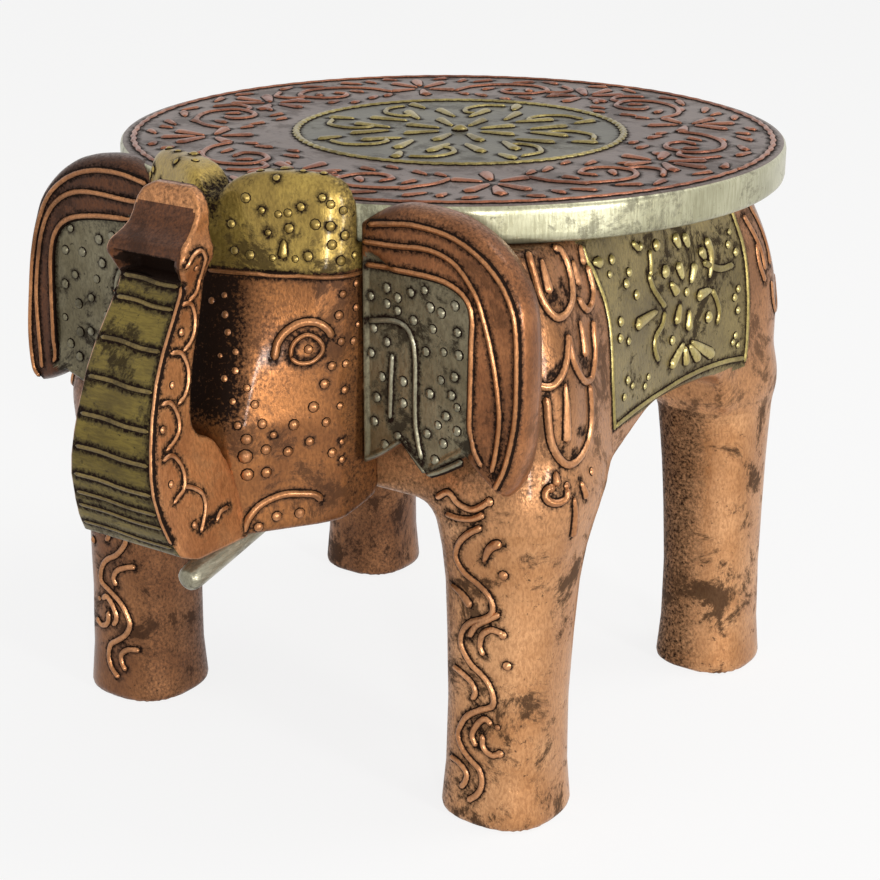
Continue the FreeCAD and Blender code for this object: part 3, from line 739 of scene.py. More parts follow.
tusk_silver = rubbed_paint("silver acrylic on the tusks", "#aca793", "#8b8672", "#5a5543",
                           grain=(1, 0.12, 1), stained=0.7)
copper_line = rubbed_paint("piped copper paste", "#cc9365", "#a87248", "#784a29", stained=0.3,
                           roughness=0.28, level="crest")
face_line = rubbed_paint("piped copper paste on the face", "#c08556", "#9b673e", "#6a4122", stained=0.4,
                         roughness=0.28, level="crest")
seat_line = rubbed_paint("piped orange copper paste", "#a5694a", "#875039", "#5f3624", stained=0.4,
                         roughness=0.3, level="crest")
olive_line = rubbed_paint("piped olive gold paste", "#a5955a", "#85753f", "#5b4d25", stained=0.3,
                          roughness=0.3, level="crest")
gold_line = rubbed_paint("piped gold paste", "#cabb7e", "#a8955a", "#75652f", stained=0.3, roughness=0.26,
                         level="crest")
rib_line = rubbed_paint("piped olive gold paste on the trunk", "#826e3e", "#69572f", "#43351a",
                        stained=0.5, level="crest")
cap_line_gold = rubbed_paint("piped olive gold paste on the domes", "#b79d55", "#927a3e", "#5f4b20",
                             stained=0.5, roughness=0.28, level="crest")
silver_line = rubbed_paint("piped green silver paste", "#96907a", "#777058", "#4a432e", stained=0.4,
                           roughness=0.3, level="crest")


# %% Bare pegs
def bare_wood(name):
    """Turned mango wood without paint: year rings 2 mm apart, darker where the noise of 6 mm is low."""
    material = bpy.data.materials.new(name)
    material.use_nodes = True
    tree = material.node_tree
    shader = tree.nodes["Principled BSDF"]
    place = add(tree, "TexCoord", output="Object")
    rings = add(tree, "TexWave", {"Vector": place, "Scale": per_metre(40), "Distortion": 3, "Detail": 2})
    tone = add(tree, "TexNoise", {"Vector": place, "Scale": per_metre(6), "Detail": 3})
    share = add(tree, "Math", {0: rings, 1: tone}, operation="MULTIPLY")
    colour = add(tree, "Mix", {"Factor": share, "A": linear("#c39a6c"), "B": linear("#9a7147")},
                 data_type="RGBA")
    tree.links.new(colour, shader.inputs["Base Color"])
    shader.inputs["Roughness"].default_value = 0.65
    return material


peg_wood = bare_wood("bare mango wood")
for node in ("seat_pegs", "leg_pegs", "head_pegs", "trunk_pegs", "ear_pegs", "tail_peg"):
    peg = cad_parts[node]
    peg.data.materials.clear()
    peg.data.materials.append(peg_wood)


# %% Which paint goes where
def painted(piece, paints, zone):
    """Give each face the number that the zone's rule works out from the middle of the face."""
    mesh = piece.data
    for paint in paints:
        mesh.materials.append(paint)
    middles = np.empty(len(mesh.polygons) * 3)
    mesh.polygons.foreach_get("center", middles)
    x, y, z = (middles.reshape(-1, 3) * 1000 - (0, axis_y, 0)).T
    mesh.polygons.foreach_set("material_index",
                              np.asarray(zone(x, y, z)).astype(np.int32) + 0 * x.astype(np.int32))


def trunk_zone(x, y, z):
    """0 on the sides, 1 on the ribbed front, and 2 in the mouth and on the tip's front, where the copper is
    darkened for painted shade and wash.
    """
    reach = np.minimum(trunk_front(z) + 0.6 + 12 * (z > mouth_low), -149.5)
    in_front = (np.abs(x) < trunk_half(z) - 1.2) & (y < reach) & (z > 102)
    return np.where(in_front, 1 + (z > mouth_low), 0)


saddle_outline = smooth_curve([(-61, 196), (-59.2, 186), (-56, 178.5), (-53.5, 170), (-52.3, 161),
                               (-53, 152), (-52.8, 143), (-52, 134), (-50.8, 125.6), (-46, 125),
                               (-30, 125.2), (-10, 125.4), (8, 125.4), (24, 124.8), (35, 123.8),
                               (44.6, 122.2), (45.4, 131), (45.2, 150), (44.8, 162), (43, 171),
                               (38.5, 181), (33, 196)], closed=True, spacing=4)
medallion_middle = (1.5, 2.0)
medallion_radius = 57.5

painted(seat, (champagne, mauve_copper, sage_silver), lambda x, y, z: (z > seat_top - 0.5) * (
    1 + (np.hypot(x - medallion_middle[0], y - medallion_middle[1]) < medallion_radius)))
painted(torso, (copper, saddle_gold),
        lambda x, y, z: (outline_distance(saddle_outline, y, z) < 0) & (np.abs(x) > 84))
# The left legs get the leg copper and the right legs its darker copy, as painted shade.
for leg in legs:
    painted(leg, (leg_copper if leg.name.endswith("left") else shade_copper,), lambda x, y, z: 0 * x)
painted(head, (face_copper, cap_gold), lambda x, y, z: z > cap_line(x, y))
# The mouth and the tip's front take the darkened copper: painted shade in the mouth, wash on the tip.
painted(trunk, (trunk_copper, trunk_gold, washed_and_shaded_copper), trunk_zone)
# The right ear's band gets the darkened copper as painted shade.
for ear, field_outline, band in ((ear_left, left_field, ear_copper_paint),
                                 (ear_right, right_field, washed_and_shaded_copper)):
    painted(ear, (band, ear_silver),
            lambda x, y, z: (outline_distance(field_outline, x, z) < 0.2) & (y < -108))
painted(tusk_left, (tusk_silver,), lambda x, y, z: 0 * x)
painted(tusk_right, (tusk_silver,), lambda x, y, z: 0 * x)
painted(tail, (copper, cap_gold), lambda x, y, z: z < 134)

# %% [markdown]
# ## Skins to pipe on
# The painter squeezes a thick paste through a cone along lines on the carved wood. To follow
# them, each painted side of the stool gets a skin: it takes two flat coordinates in
# millimetres and gives the point on the wood and the direction that points out of it.

# %% Skins
def cast(field, points, direction, reach=70):
    """Walk in a direction until the field is zero, each step as long as the distance and no
    further than the reach in all. A stroke that misses the wood slides back on to it."""
    gone = np.zeros(len(points))
    for _ in range(25):
        gone = np.minimum(gone + 0.9 * field(*(points + direction * gone[:, None]).T), reach)
    points = settle(field, points + direction * gone[:, None], 6)
    grows = slope(field, points)
    return points, grows / np.linalg.norm(grows, axis=1, keepdims=True)


def side_of_torso(side):
    return lambda y, z: cast(elephant_field, np.stack([side * 125 + 0 * y, y, z], -1),
                             np.array((-side, 0, 0)))


def round_the_corner(side):
    """The front corner and its leg, seen from an upright line through the leg. The first
    coordinate is the angle in degrees from straight ahead towards the outside."""
    def skin_of_corner(angle, z):
        turn = np.radians(angle)
        out = np.stack([side * np.sin(turn), -np.cos(turn), 0 * z], -1)
        start = np.stack([side * 79 + 0 * z, -78 + 0 * z, z], -1) + 60 * out
        return cast(elephant_field, start, -out)
    return skin_of_corner


def cheek(side):
    """The wedge's slanting side. The first coordinate runs back along it from its front corner."""
    def skin_of_cheek(along, z):
        ahead = np.stack(nose_edge(z), -1)
        behind = np.stack([39 + 2 * face_lean(z), -112.2 - 6.8 * face_lean(z)], -1)
        run = (behind - ahead) / np.linalg.norm(behind - ahead, axis=1, keepdims=True)
        place = ahead + run * along[:, None] + np.stack([-run[:, 1], run[:, 0]], -1) * -14
        start = np.stack([side * place[:, 0], place[:, 1], z], -1)
        inward = np.stack([-side * run[:, 1], run[:, 0], 0 * z], -1)
        return cast(head_field, start, inward)
    return skin_of_cheek


def top_of_head(x, y):
    return cast(head_field, np.stack([x, y, 235 + 0 * x], -1), np.array((0, 0, -1)))


def top_of_seat(x, y):
    return np.stack([x, y, seat_top + 0 * x], -1), np.tile([0.0, 0, 1], (len(x), 1))


def front_of_ear(field_outline):
    def skin_of_ear(x, z):
        y = ear_front(np.stack([x, z], -1), field_outline)
        return np.stack([x, y, z], -1), np.tile([0.0, -1, 0], (len(x), 1))
    return skin_of_ear


def front_of_trunk(x, z):
    rise = trunk_front(z + 0.5) - trunk_front(z - 0.5)
    out = np.stack([0 * x, -1 + 0 * x, rise], -1)
    return np.stack([x, trunk_front(z), z], -1), out / np.linalg.norm(out, axis=1, keepdims=True)


def side_of_trunk(side):
    def skin_of_trunk(y, z):
        rise = trunk_half(z + 0.5) - trunk_half(z - 0.5)
        out = np.stack([side + 0 * y, 0 * y, -rise], -1)
        return np.stack([side * trunk_half(z), y, z], -1), out / np.linalg.norm(out, axis=1, keepdims=True)
    return skin_of_trunk


# %% [markdown]
# ## Piped ridges and dots
# A ridge is a half-round profile carried along a stroke. Its foot runs out below the wood's
# surface, where the dark wash collects, so every point also keeps how near the crest it is.

# %% Ridges
ridge_across = np.array([-1, -1, -0.82, -0.45, 0, 0.45, 0.82, 1, 1])
ridge_foot = np.array([-0.8, -0.3, 0, 0, 0, 0, 0, 0.3, 0.8])
ridge_up = np.array([0, 0, 0.5, 0.9, 1, 0.9, 0.5, 0, 0])
ridge_sunk = np.array([-0.4, 0.1, 0, 0, 0, 0, 0, 0.1, -0.4])
ridge_crest = np.array([0, 0, 0.45, 0.9, 1, 0.9, 0.45, 0, 0])


def ridges(skin_of_zone, strokes, width, height, shape="line"):
    """A ridge along each stroke. Near an end its width follows a circle; a drop also swells
    from its first place to its last with the power 0.6 of the way."""
    paths = [smooth_curve(places, spacing=0.9) for places in strokes]
    every_point, every_out = skin_of_zone(*np.concatenate(paths).T)
    ends = np.cumsum([len(path) for path in paths])[:-1]
    made = []
    for points, out in zip(np.split(every_point, ends), np.split(every_out, ends)):
        run = np.gradient(points, axis=0)
        side = np.cross(run, out)
        side /= np.maximum(np.linalg.norm(side, axis=1, keepdims=True), 1e-9)
        way = np.concatenate([[0], np.cumsum(np.linalg.norm(np.diff(points, axis=0), axis=1))])
        near_end = np.minimum(way, way[-1] - way) / (width / 2)
        full = np.sqrt(np.clip(1 - (1 - np.clip(near_end, 0.02, 1)) ** 2, 0.01, 1))
        if shape == "drop":
            full = np.minimum(full, 0.25 + 0.75 * (way / way[-1]) ** 0.6)
        across = ridge_across * width / 2 * full[:, None] + ridge_foot * np.minimum(full * 2, 1)[:, None]
        up = ridge_up * height * np.sqrt(full)[:, None] + ridge_sunk
        rings = points[:, None] + side[:, None] * across[..., None] + out[:, None] * up[..., None]
        made.append((rings, np.tile(ridge_crest, (len(points), 1)), points))
    return made


# %% Dots
def dots(skin_of_zone, places, height_share=0.34):
    """Round drops of paste. A place is two flat coordinates and a diameter."""
    u, v, size = np.array(places, float).T
    points, out = skin_of_zone(u, v)
    side = np.cross(out, np.where(np.abs(out[:, 2:]) > 0.9, (1.0, 0, 0), (0.0, 0, 1)))
    side /= np.linalg.norm(side, axis=1, keepdims=True)
    other = np.cross(out, side)
    turn = np.linspace(0, 2 * math.pi, 9, endpoint=False)
    radius = size[:, None] / 2 * np.array([1, 1, 0.86, 0.5, 0.1]) + np.array([0.45, 0.15, 0, 0, 0])
    up = size[:, None] * height_share * np.array([0, 0, 0.5, 0.88, 1]) + np.array([-0.4, 0.1, 0, 0, 0])
    circle = np.cos(turn)[:, None] * side[:, None, None] + np.sin(turn)[:, None] * other[:, None, None]
    rise = out[:, None, None] * up[..., None, None]
    rings = points[:, None, None] + circle * radius[..., None, None] + rise
    crest = np.tile(np.array([0, 0, 0.45, 0.9, 1])[:, None], (1, len(turn)))
    return [(ring, crest, place[None]) for ring, place in zip(rings, points)]


piped_points = []


def piping(name, slot, material, parts):
    """Join ridges and dots into one piece, and keep where they lie for the wash."""
    points, faces, crests, start = [], [], [], 0
    for rings, crest, centres in parts:
        flat, own = closed_stack(rings)
        points.append(flat)
        faces += [[start + corner for corner in face] for face in own]
        crests.append(np.broadcast_to(crest, rings.shape[:2]).reshape(-1))
        piped_points.append(centres)
        start += len(flat)
    piece = make_piece(name, np.concatenate(points), faces, slot)
    level = piece.data.attributes.new("crest", "FLOAT", "POINT")
    level.data.foreach_set("value", np.concatenate(crests).astype(np.float32))
    work = bmesh.new()
    work.from_mesh(piece.data)
    bmesh.ops.recalc_face_normals(work, faces=work.faces[:])
    work.to_mesh(piece.data)
    work.free()
    piece.data.materials.append(material)


# %% [markdown]
# ## The seat's pattern
# A ring of flowers and curled scrolls round a medallion. The painter repeats one motif eight
# times, so it is drawn once, as angles and radii, and turned.

# %% Seat pattern
def turned(places, angle, flip=1):
    """Places given as (degrees, radius), turned by an angle, as flat coordinates."""
    degrees, radius = np.array(places, float).T
    way = np.radians(degrees * flip + angle)
    return np.stack([radius * np.cos(way), radius * np.sin(way)], -1)


def around(middle, radius, spacing=6.0, wobble=0.0):
    """A closed ring of places."""
    count = int(2 * math.pi * radius / spacing)
    turn = np.linspace(0, 2 * math.pi, count + 1)
    wide = radius + wobble * np.where(np.arange(count + 1) % 2, 1, -1)
    return np.stack([middle[0] + wide * np.cos(turn), middle[1] + wide * np.sin(turn)], -1)


scroll = [(9, 79), (13, 88), (20, 94.5), (28, 95), (33, 88), (31, 79), (25.5, 76.5), (22, 81), (24, 86)]
small_scroll = [(34, 99), (38, 93), (37, 86), (33.5, 84)]
petals = [[(-1, 87), (-6, 97)], [(1, 87), (6, 97)], [(-2, 83), (-9, 80)], [(2, 83), (9, 80)],
          [(0, 81), (0, 70)], [(0, 90), (0, 102)]]
leaves = [[(4, 104), (7, 106.5)], [(28, 106), (32, 103)], [(39, 104), (43, 106.5)], [(10, 75), (13, 71)],
          [(24, 66), (28, 64)], [(15.5, 91), (18.5, 95)], [(27.5, 88), (29.5, 83)], [(13, 99), (17, 104)],
          [(22, 100), (26.5, 104)], [(15, 73), (19, 68.5)], [(29, 71), (34, 69)], [(19, 87), (16.5, 82)],
          [(36.5, 76), (39, 80)], [(9.5, 99), (11, 104)]]

seat_parts = ridges(top_of_seat, [around((0, 0), 111.3, 4, 0.25)], 1.7, 0.8)
for number in range(8):
    angle, flip = (45 * number - 2, 1) if number % 2 else (45 * number + 43, -1)
    seat_parts += ridges(top_of_seat, [turned(petal, 45 * number - 2) for petal in petals], 5, 1.1, "drop")
    scrolls = [turned(line, angle, flip) for line in (scroll, small_scroll)]
    seat_parts += ridges(top_of_seat, scrolls, 1.9, 0.9)
    seat_parts += ridges(top_of_seat, [turned(leaf, angle, flip) for leaf in leaves], 3.6, 1, "drop")
piping("piping_seat_ring", "seat_paint", seat_line, seat_parts)

# %% Medallion
medallion_petals = [[(0, 8), (0, 21)], [(16, 25), (9, 39)], [(-16, 25), (-9, 39)]]
medallion_curl = [(4, 49), (14, 47), (21, 40), (20, 33), (13, 31)]
medallion_parts = ridges(top_of_seat, [around(medallion_middle, medallion_radius, 2.2, 0.35)], 2.2, 0.9)
for number in range(8):
    angle = 45 * number + 10
    drops = [turned(petal, angle) + medallion_middle for petal in medallion_petals + [[(-3, 43), (0, 52)]]]
    medallion_parts += ridges(top_of_seat, drops, 4.6, 1.2, "drop")
    medallion_parts += ridges(top_of_seat, [turned(medallion_curl, angle) + medallion_middle], 1.8, 0.9)
medallion_parts += dots(top_of_seat, [(*medallion_middle, 6)])
piping("piping_medallion", "seat_paint", olive_line, medallion_parts)

# %% [markdown]
# ## Saddle cloth and shoulders
# A cloth is painted on each flank: a double border, a flower with four leaves and scattered
# dots. In front of it loops hang down the shoulder. Both flanks get the same strokes.

# %% Saddle cloth
saddle_lines = [
    [(-59, 187), (-58, 182), (-56, 178.5), (-54, 173), (-52.5, 168), (-52, 161), (-52.5, 153),
     (-53, 143.5), (-52, 135), (-50.5, 126)],
    [(40, 180), (42, 174), (44, 168), (45, 161), (45.2, 150.5), (45.2, 139.5), (45.2, 130), (44.5, 124)],
    [(44, 125.6), (34.5, 127), (24.5, 127.9), (14.5, 128.4), (1, 128.5), (-9.5, 128.2), (-21.5, 128),
     (-33.5, 127.6), (-44, 127.2), (-49.5, 127)],
]
saddle_strokes = [
    [(-18.5, 177.5), (-19, 172.5), (-20.5, 169)],
    [(-21.5, 170), (-19.5, 165.5), (-16, 161.5), (-11.5, 157)],
    [(21.5, 155.5), (24.5, 151), (26, 146.5), (24.5, 142.5)],
    [(-12, 155.5), (-14.5, 151.5), (-19.5, 148.5), (-20, 144.5), (-17, 140)],
    [(16.5, 166), (27.5, 161.5), (36.5, 161)], [(-29, 182), (-25, 178.8)],
]
saddle_petals = [
    [(1.5, 163.5), (-1, 169.5)], [(7.5, 173), (5, 178)], [(1.5, 174), (-1.5, 179)], [(18, 167), (15, 171)],
    [(7, 161), (10.5, 167)], [(-7, 164), (-2.5, 159.5)], [(-1, 155.5), (-4.5, 149.5)],
    [(5, 152), (4.5, 145)], [(20.5, 155.7), (11, 155.3)], [(-18, 157), (-33.5, 156)],
    [(1, 141.5), (-8, 135.2)], [(2.2, 140), (3.5, 133)], [(5.5, 139.5), (12.5, 132.8)],
    [(7, 140.5), (22.5, 132)], [(-55, 181), (-50, 180)],
]
saddle_stems = [[(20, 160), (22, 165), (22, 169), (19.8, 173.5)], [(-23.5, 179), (-25.5, 180.2)]]
saddle_dots = [(-14, 178, 4.2), (-10, 168.5, 4.8), (4, 158.5, 3.2), (18.5, 146.5, 4.4), (-7, 144.5, 3.4),
               (-43.5, 179.5, 3.4), (-34, 173.5, 3.2), (-37, 170.5, 3.4), (-31, 165.5, 3.4),
               (-44, 160, 3.4), (-45.5, 155, 3.2), (-39.5, 152.5, 2.6), (34.5, 168.5, 3), (39, 165, 3.2),
               (36.5, 172.5, 2.4), (39, 152, 2.8), (36.5, 149.5, 3), (38.5, 144.5, 2.8),
               (37.5, 135.5, 2.6), (36, 133.3, 2.4), (39.5, 131.5, 2.4), (-41, 140, 2.8),
               (-43.5, 135, 2.6), (-37, 137, 2.3), (-24.5, 136.5, 2.4), (-27, 134, 2.3),
               (-46.5, 175.5, 2.4)]
shoulder_loops = [
    [(44, 190), (46.5, 187.5), (51, 183.5), (54, 179.5), (58.5, 176), (65.5, 172.5), (75, 170.5),
     (90.5, 171), (107.5, 173.5), (118, 177.5), (123.5, 182), (124.5, 185.5), (120, 188.5), (108, 189.3)],
    [(147.5, 181), (145, 176.5), (142, 172.5), (135, 169.5), (127.5, 169), (123, 171), (120.5, 173.5)],
    [(40, 153.5), (46, 152), (58, 151), (66, 152.5), (73, 155.5), (79, 160), (84, 165)],
    [(84, 165), (84, 160.5), (85.5, 156.5), (91.5, 152.5), (101.5, 149), (112.5, 148.5), (120, 152),
     (125, 156.5), (127.5, 161), (131.5, 165)],
    [(54, 148), (55.5, 145), (56, 141), (58, 135), (61.5, 131), (68, 127), (75, 125), (84.5, 125),
     (96.5, 126.5), (106, 129.3), (110.5, 134), (110.5, 140.5), (109.5, 147)],
    [(58, 119.5), (54, 118.8), (53, 116.8), (57, 115), (64, 114.5), (69.5, 115.5), (71, 118.5)],
]
shoulder_drops = [[(150, 187.5), (145, 181.5)], [(135, 184), (129, 176.5)], [(67, 187.5), (70, 177.5)],
                  [(111, 167), (107, 156)], [(72.5, 151), (73.5, 132.5)], [(77, 114.5), (82, 100.5)],
                  [(86, 118.5), (92.5, 112.5)], [(62.5, 124), (62.5, 119.5)]]
shoulder_dots = [(104, 119.5, 2.6), (71, 119, 2.4), (57.5, 119.3, 3)]
shoulder_fills = [(66, 177), (72, 175.5), (78, 174), (86, 173.6), (94, 174), (102, 176), (110, 179),
                  (100, 179), (90, 177.5), (80, 177.5), (105.5, 157), (104.5, 154), (101.5, 152.5),
                  (111, 153), (116, 156), (100, 157), (66, 132), (69, 130), (75, 128), (84, 128),
                  (93, 130), (100, 132.5), (86, 132), (92, 134), (67, 135), (60.5, 154.5), (53, 154),
                  (69, 156.3), (45, 155)]

vine = [(6, 105.5), (-6.5, 102), (-16, 98), (-21.5, 93.5), (-20, 90.5), (-12.5, 87.5), (-2, 85.5), (8, 83),
        (14, 79.5), (13.5, 76), (5.5, 73.5), (-5.5, 71.5), (-14.5, 68), (-17.5, 63.5), (-13.5, 60),
        (-5, 56.5), (6, 54), (13, 51), (16.5, 47), (15, 44), (3.5, 41.5), (-9, 38), (-16, 33.5), (-18, 30),
        (-12.5, 26), (-3, 23), (5.5, 20.5), (8, 16), (4.5, 12), (-4.5, 8.5)]
tendrils = [[(6.5, 61), (3, 64), (5, 68), (13.5, 70.5), (23.5, 70)],
            [(20.5, 76.5), (9.5, 73.5), (-1.5, 70.5), (-8.5, 66)],
            [(15.5, 37.5), (9.5, 39), (2, 36.5), (-3, 32), (1.5, 28.5)],
            [(7, 33.5), (8.5, 29), (16, 27), (22.5, 28)],
            [(-26, 53.5), (-15.5, 52.5), (-5.5, 50.5), (-1, 47.5), (-4, 44.5)],
            [(-26.5, 21), (-15.5, 20.5), (-7.5, 18), (-8, 15), (-12.5, 12)],
            [(-34, 111), (-24, 114), (-15, 111.5), (-4, 110.5), (4.5, 112), (12, 114.5)],
            [(-26.5, 106.5), (-14, 106.5), (-2, 107.5), (8.5, 110)]]
tendril_drops = [[(6.5, 93.5), (11.5, 98), (18, 100.5), (22.5, 100.5)],
                 [(-30, 81.5), (-17.5, 80), (-7, 76.5)]]
vine_dots = [(23.5, 90, 3.2), (23.5, 69.5, 2.8), (27.5, 59, 3), (20.5, 37, 2), (23, 28, 2.8),
             (12.5, 114.5, 3)]

gold_parts, gold_heads, copper_parts, wash_and_shade_places = [], [], [], []
for side in (1, -1):
    flank, corner = side_of_torso(side), round_the_corner(side)
    gold_parts += ridges(flank, saddle_lines, 1.6, 0.8)
    gold_parts += ridges(flank, saddle_strokes, 2.2, 1)
    gold_heads += ridges(flank, saddle_petals, 4.4, 1.7, "drop")
    gold_heads += ridges(flank, saddle_stems, 4, 1.5, "drop")
    gold_heads += dots(flank, saddle_dots, 0.36)
    copper_parts += ridges(corner, shoulder_loops, 2.3, 1.3)
    copper_parts += ridges(corner, shoulder_drops, 3.4, 1.5, "drop")
    copper_parts += dots(corner, shoulder_dots)
    copper_parts += ridges(flank, [[(48, 176), (53, 168.5), (56, 162.5), (57.5, 155)],
                                   [(50, 186), (54.5, 178), (59, 171), (62, 163), (62, 156)],
                                   [(62, 150), (63, 143), (67, 138), (72, 142), (73, 150)],
                                   [(53.5, 165), (54, 158), (57, 151)]], 2.1, 0.7)
    copper_parts += ridges(corner, [vine] + tendrils, 1.9, 1.1)
    copper_parts += ridges(corner, tendril_drops, 3.2, 1.5, "drop")
    copper_parts += dots(corner, vine_dots)
    # Wash inside the shoulder loops.
    wash_and_shade_places.append(corner(*np.array(shoulder_fills, float).T)[0])
piping("piping_saddle_lines", "gold_paint", olive_line, gold_parts)
piping("piping_saddle_drops", "gold_paint", gold_line, gold_heads)
piping("piping_shoulders_and_legs", "copper_paint", copper_line, copper_parts)

# %% [markdown]
# ## Head
# The face is nearly flat, and all its life is in the paste: an almond eye under a raised lid,
# rows of dots like jewels, and a gold cap strewn with drops.

# %% Head
eye_lid = [(14.5, 156.5), (15, 159), (15.5, 161.5), (17.5, 164.5), (21, 167), (24.5, 168), (28, 167.5),
           (31, 165), (32, 162.5)]
eye_rim = [(19.5, 157), (20, 160.5), (21.8, 162.8), (24.5, 164), (27.2, 163), (29.2, 160.5), (29, 158),
           (26.7, 155.7), (24, 155), (21.5, 155.5), (19.5, 157)]
head_dots = [(-5, 173, 2.2), (-1, 175, 1.9), (-0.5, 169.5, 2.4), (0.5, 164.5, 2.2), (3, 159, 2),
             (-1.5, 157.5, 1.5), (3, 153.5, 2.2), (0, 151, 2.2), (6.5, 148.5, 2.2), (2.5, 144.5, 2),
             (9, 143.5, 2.5), (4, 137.5, 2.2), (11.5, 137.5, 2.9), (6.5, 133, 3.4), (12.5, 129, 3.2),
             (6, 127.5, 4.5), (6.5, 121.5, 3.9), (12.5, 121.5, 3.4), (19.5, 127.5, 3.2), (15, 133.5, 2.2),
             (21.5, 136, 3.4), (26.5, 130, 2.9), (27.5, 141, 3.4), (30.5, 148, 3.1), (32, 135.5, 2.9),
             (32.5, 153.5, 2.8), (34, 125, 3.1), (37.5, 128, 1.8), (37, 153.5, 2.5), (37.5, 145, 2.5),
             (36.5, 140, 2.4), (35, 161, 2.5), (39, 160.5, 2.5), (34, 169.5, 2.8), (39, 171, 2.5),
             (35, 176, 2.3), (38.5, 178.5, 2.4), (37.5, 122, 2.2), (40, 165.5, 2)]
half_moon = [(3, 98.5), (4, 101), (5, 103.5), (6.5, 107), (9.5, 110.5), (13.5, 112.5), (18.5, 113.5),
             (23, 113), (28, 112), (30.5, 109.5)]
moon_dots = [(15.5, 106.5, 3.2), (23, 106.5, 3.4), (9.5, 103.8, 3)]
cap_dots = [(1, 196.5, 2.5), (5.5, 204.5, 3), (2, 188.5, 2.5), (7, 187.5, 2.9), (12.5, 194.5, 1.8),
            (15.5, 200, 2.2), (19, 196, 2.9), (18.5, 200.5, 2.5), (22.5, 202.5, 2.5), (21, 187, 2),
            (25, 188, 2.9), (27, 197.5, 3.2), (31.5, 197, 2.9), (35, 201.5, 2.5), (35.5, 194, 2.9),
            (32, 191.5, 2.9), (34.5, 186.5, 2.9), (38, 187.5, 2.3), (29, 205.5, 2.3), (31.5, 203.5, 2.5),
            (39, 198, 1.8), (14, 187, 2), (10.5, 201, 2)]
top_dots = [(13, -121, 2.4), (20, -122, 2.2), (31, -113, 2.4), (25, -115.5, 2.2), (15, -115, 2.2)]
face_parts, cap_parts = [], []
for side in (1, -1):
    face = cheek(side)
    face_parts += ridges(face, [eye_lid], 2.2, 0.9)
    face_parts += ridges(face, [eye_rim], 1.1, 0.7)
    face_parts += ridges(face, [half_moon], 2.1, 1)
    face_parts += dots(face, head_dots + moon_dots + [(25, 159.4, 2.7)], 0.32)
    cap_parts += dots(face, cap_dots, 0.32)
    cap_parts += ridges(face, [[(17.5, 192.5), (17.1, 187)]], 3, 1.2, "drop")
    cap_parts += ridges(top_of_head, [[(side * 20, -112.5), (side * 17.5, -117)]], 3.4, 0.8, "drop")
    cap_parts += dots(top_of_head, [(side * x, y, size) for x, y, size in top_dots], 0.3)
    face_parts += ridges(face, [[(-7, 181.6), (0, 181.7), (10, 181.9), (20, 181.9), (30, 181.6),
                                 (41, 181.4)]], 1.1, 0.9)
    # Points on the face beside the trunk, darkened by wash and painted shade in the recess.
    wash_and_shade_places.append(face(*np.array([(x, z) for z in np.arange(155, 181, 2.5) for x in (-7, -4)], float).T)[0])
piping("piping_face", "copper_paint", face_line, face_parts)
piping("piping_cap", "gold_paint", cap_line_gold, cap_parts)

# %% Ears
left_ear_lines = [
    [(45, 197.5), (55, 199), (63, 199.5), (75, 198), (85, 193.5), (92.5, 187), (97, 179), (98.5, 170),
     (98.8, 155), (98.5, 147), (97.5, 140), (95, 130), (91.5, 122.5)],
    [(43, 192), (55, 192.3), (65, 193), (72, 192), (78, 189), (84, 182), (87, 175), (90, 165), (92, 155),
     (93, 145), (92, 135), (90.5, 128)],
    [(43, 184.6), (55, 185), (68, 184.8), (75, 183.6), (80.5, 180.5), (83, 175), (82.8, 165), (82.6, 150),
     (82.5, 140), (84, 134), (87, 129)],
]
left_ear_dots = [(55, 176), (55, 172), (51, 173.5), (51, 178.5), (67, 175), (61, 170), (68, 168.5),
                 (77, 169), (76, 177), (51, 161.5), (72, 162), (65.5, 161), (77.5, 162), (76, 155),
                 (71, 153), (67, 148), (77, 145.5), (73, 142), (77, 138), (66, 135), (49, 150), (47, 143),
                 (57, 143), (55, 132), (69, 127), (65, 180), (72, 133), (45, 175), (46, 165), (45, 157),
                 (71, 174), (60, 178.5), (57, 150), (46, 135), (50, 128), (75, 149), (70, 138.5)]
left_flap = [[(44, 167), (52, 168.5), (57, 168), (60, 165), (61.5, 158), (61.5, 140), (62.5, 132),
              (64, 126)],
             [(57, 131), (60, 127.5), (65.5, 122)], [(66, 121.6), (72, 124.5), (79.5, 129)],
             [(53, 158), (52.4, 148), (52, 137)]]
right_ear_lines = [
    [(-44, 198), (-56, 200), (-68, 199.5), (-79, 196), (-88.5, 189), (-94.5, 179), (-98.3, 167),
     (-100.6, 153), (-102.2, 138), (-101.5, 126), (-99, 122.5)],
    [(-43, 191.5), (-53, 191.5), (-70, 192), (-80, 190), (-88, 184.5), (-93, 176), (-96, 165), (-98, 150),
     (-97.5, 126)],
    [(-43, 184.8), (-57, 185), (-70, 184), (-80.5, 181.5), (-86.6, 176.5), (-89.6, 168.5), (-90.6, 155),
     (-91, 140), (-92, 129)],
]
right_ear_dots = [(-81, 178), (-76, 170.5), (-68, 176), (-62, 178), (-80, 162), (-70, 162), (-73, 155),
                  (-79, 152), (-74, 143), (-79, 142), (-80, 133), (-84, 170), (-85, 158), (-86, 146),
                  (-67, 168), (-66, 150), (-68, 138), (-84, 137), (-55, 176), (-48, 174), (-48, 160),
                  (-55, 150), (-50, 140), (-72, 130), (-50, 130)]
right_flap = [[(-x, z) for x, z in line] for line in left_flap[:1] + left_flap[3:]]
ear_copper, ear_field_parts = [], []
for lines, spots, flap, outline in ((left_ear_lines, left_ear_dots, left_flap, left_field),
                                    (right_ear_lines, right_ear_dots, right_flap, right_field)):
    board = front_of_ear(outline)
    ear_copper += ridges(board, lines, 1.5, 0.9)
    ear_field_parts += ridges(board, flap, 1.5, 0.8)
    ear_field_parts += dots(board, [(x, z, 2.6 + (7 * abs(x) + 3 * z) % 5 / 5) for x, z in spots])
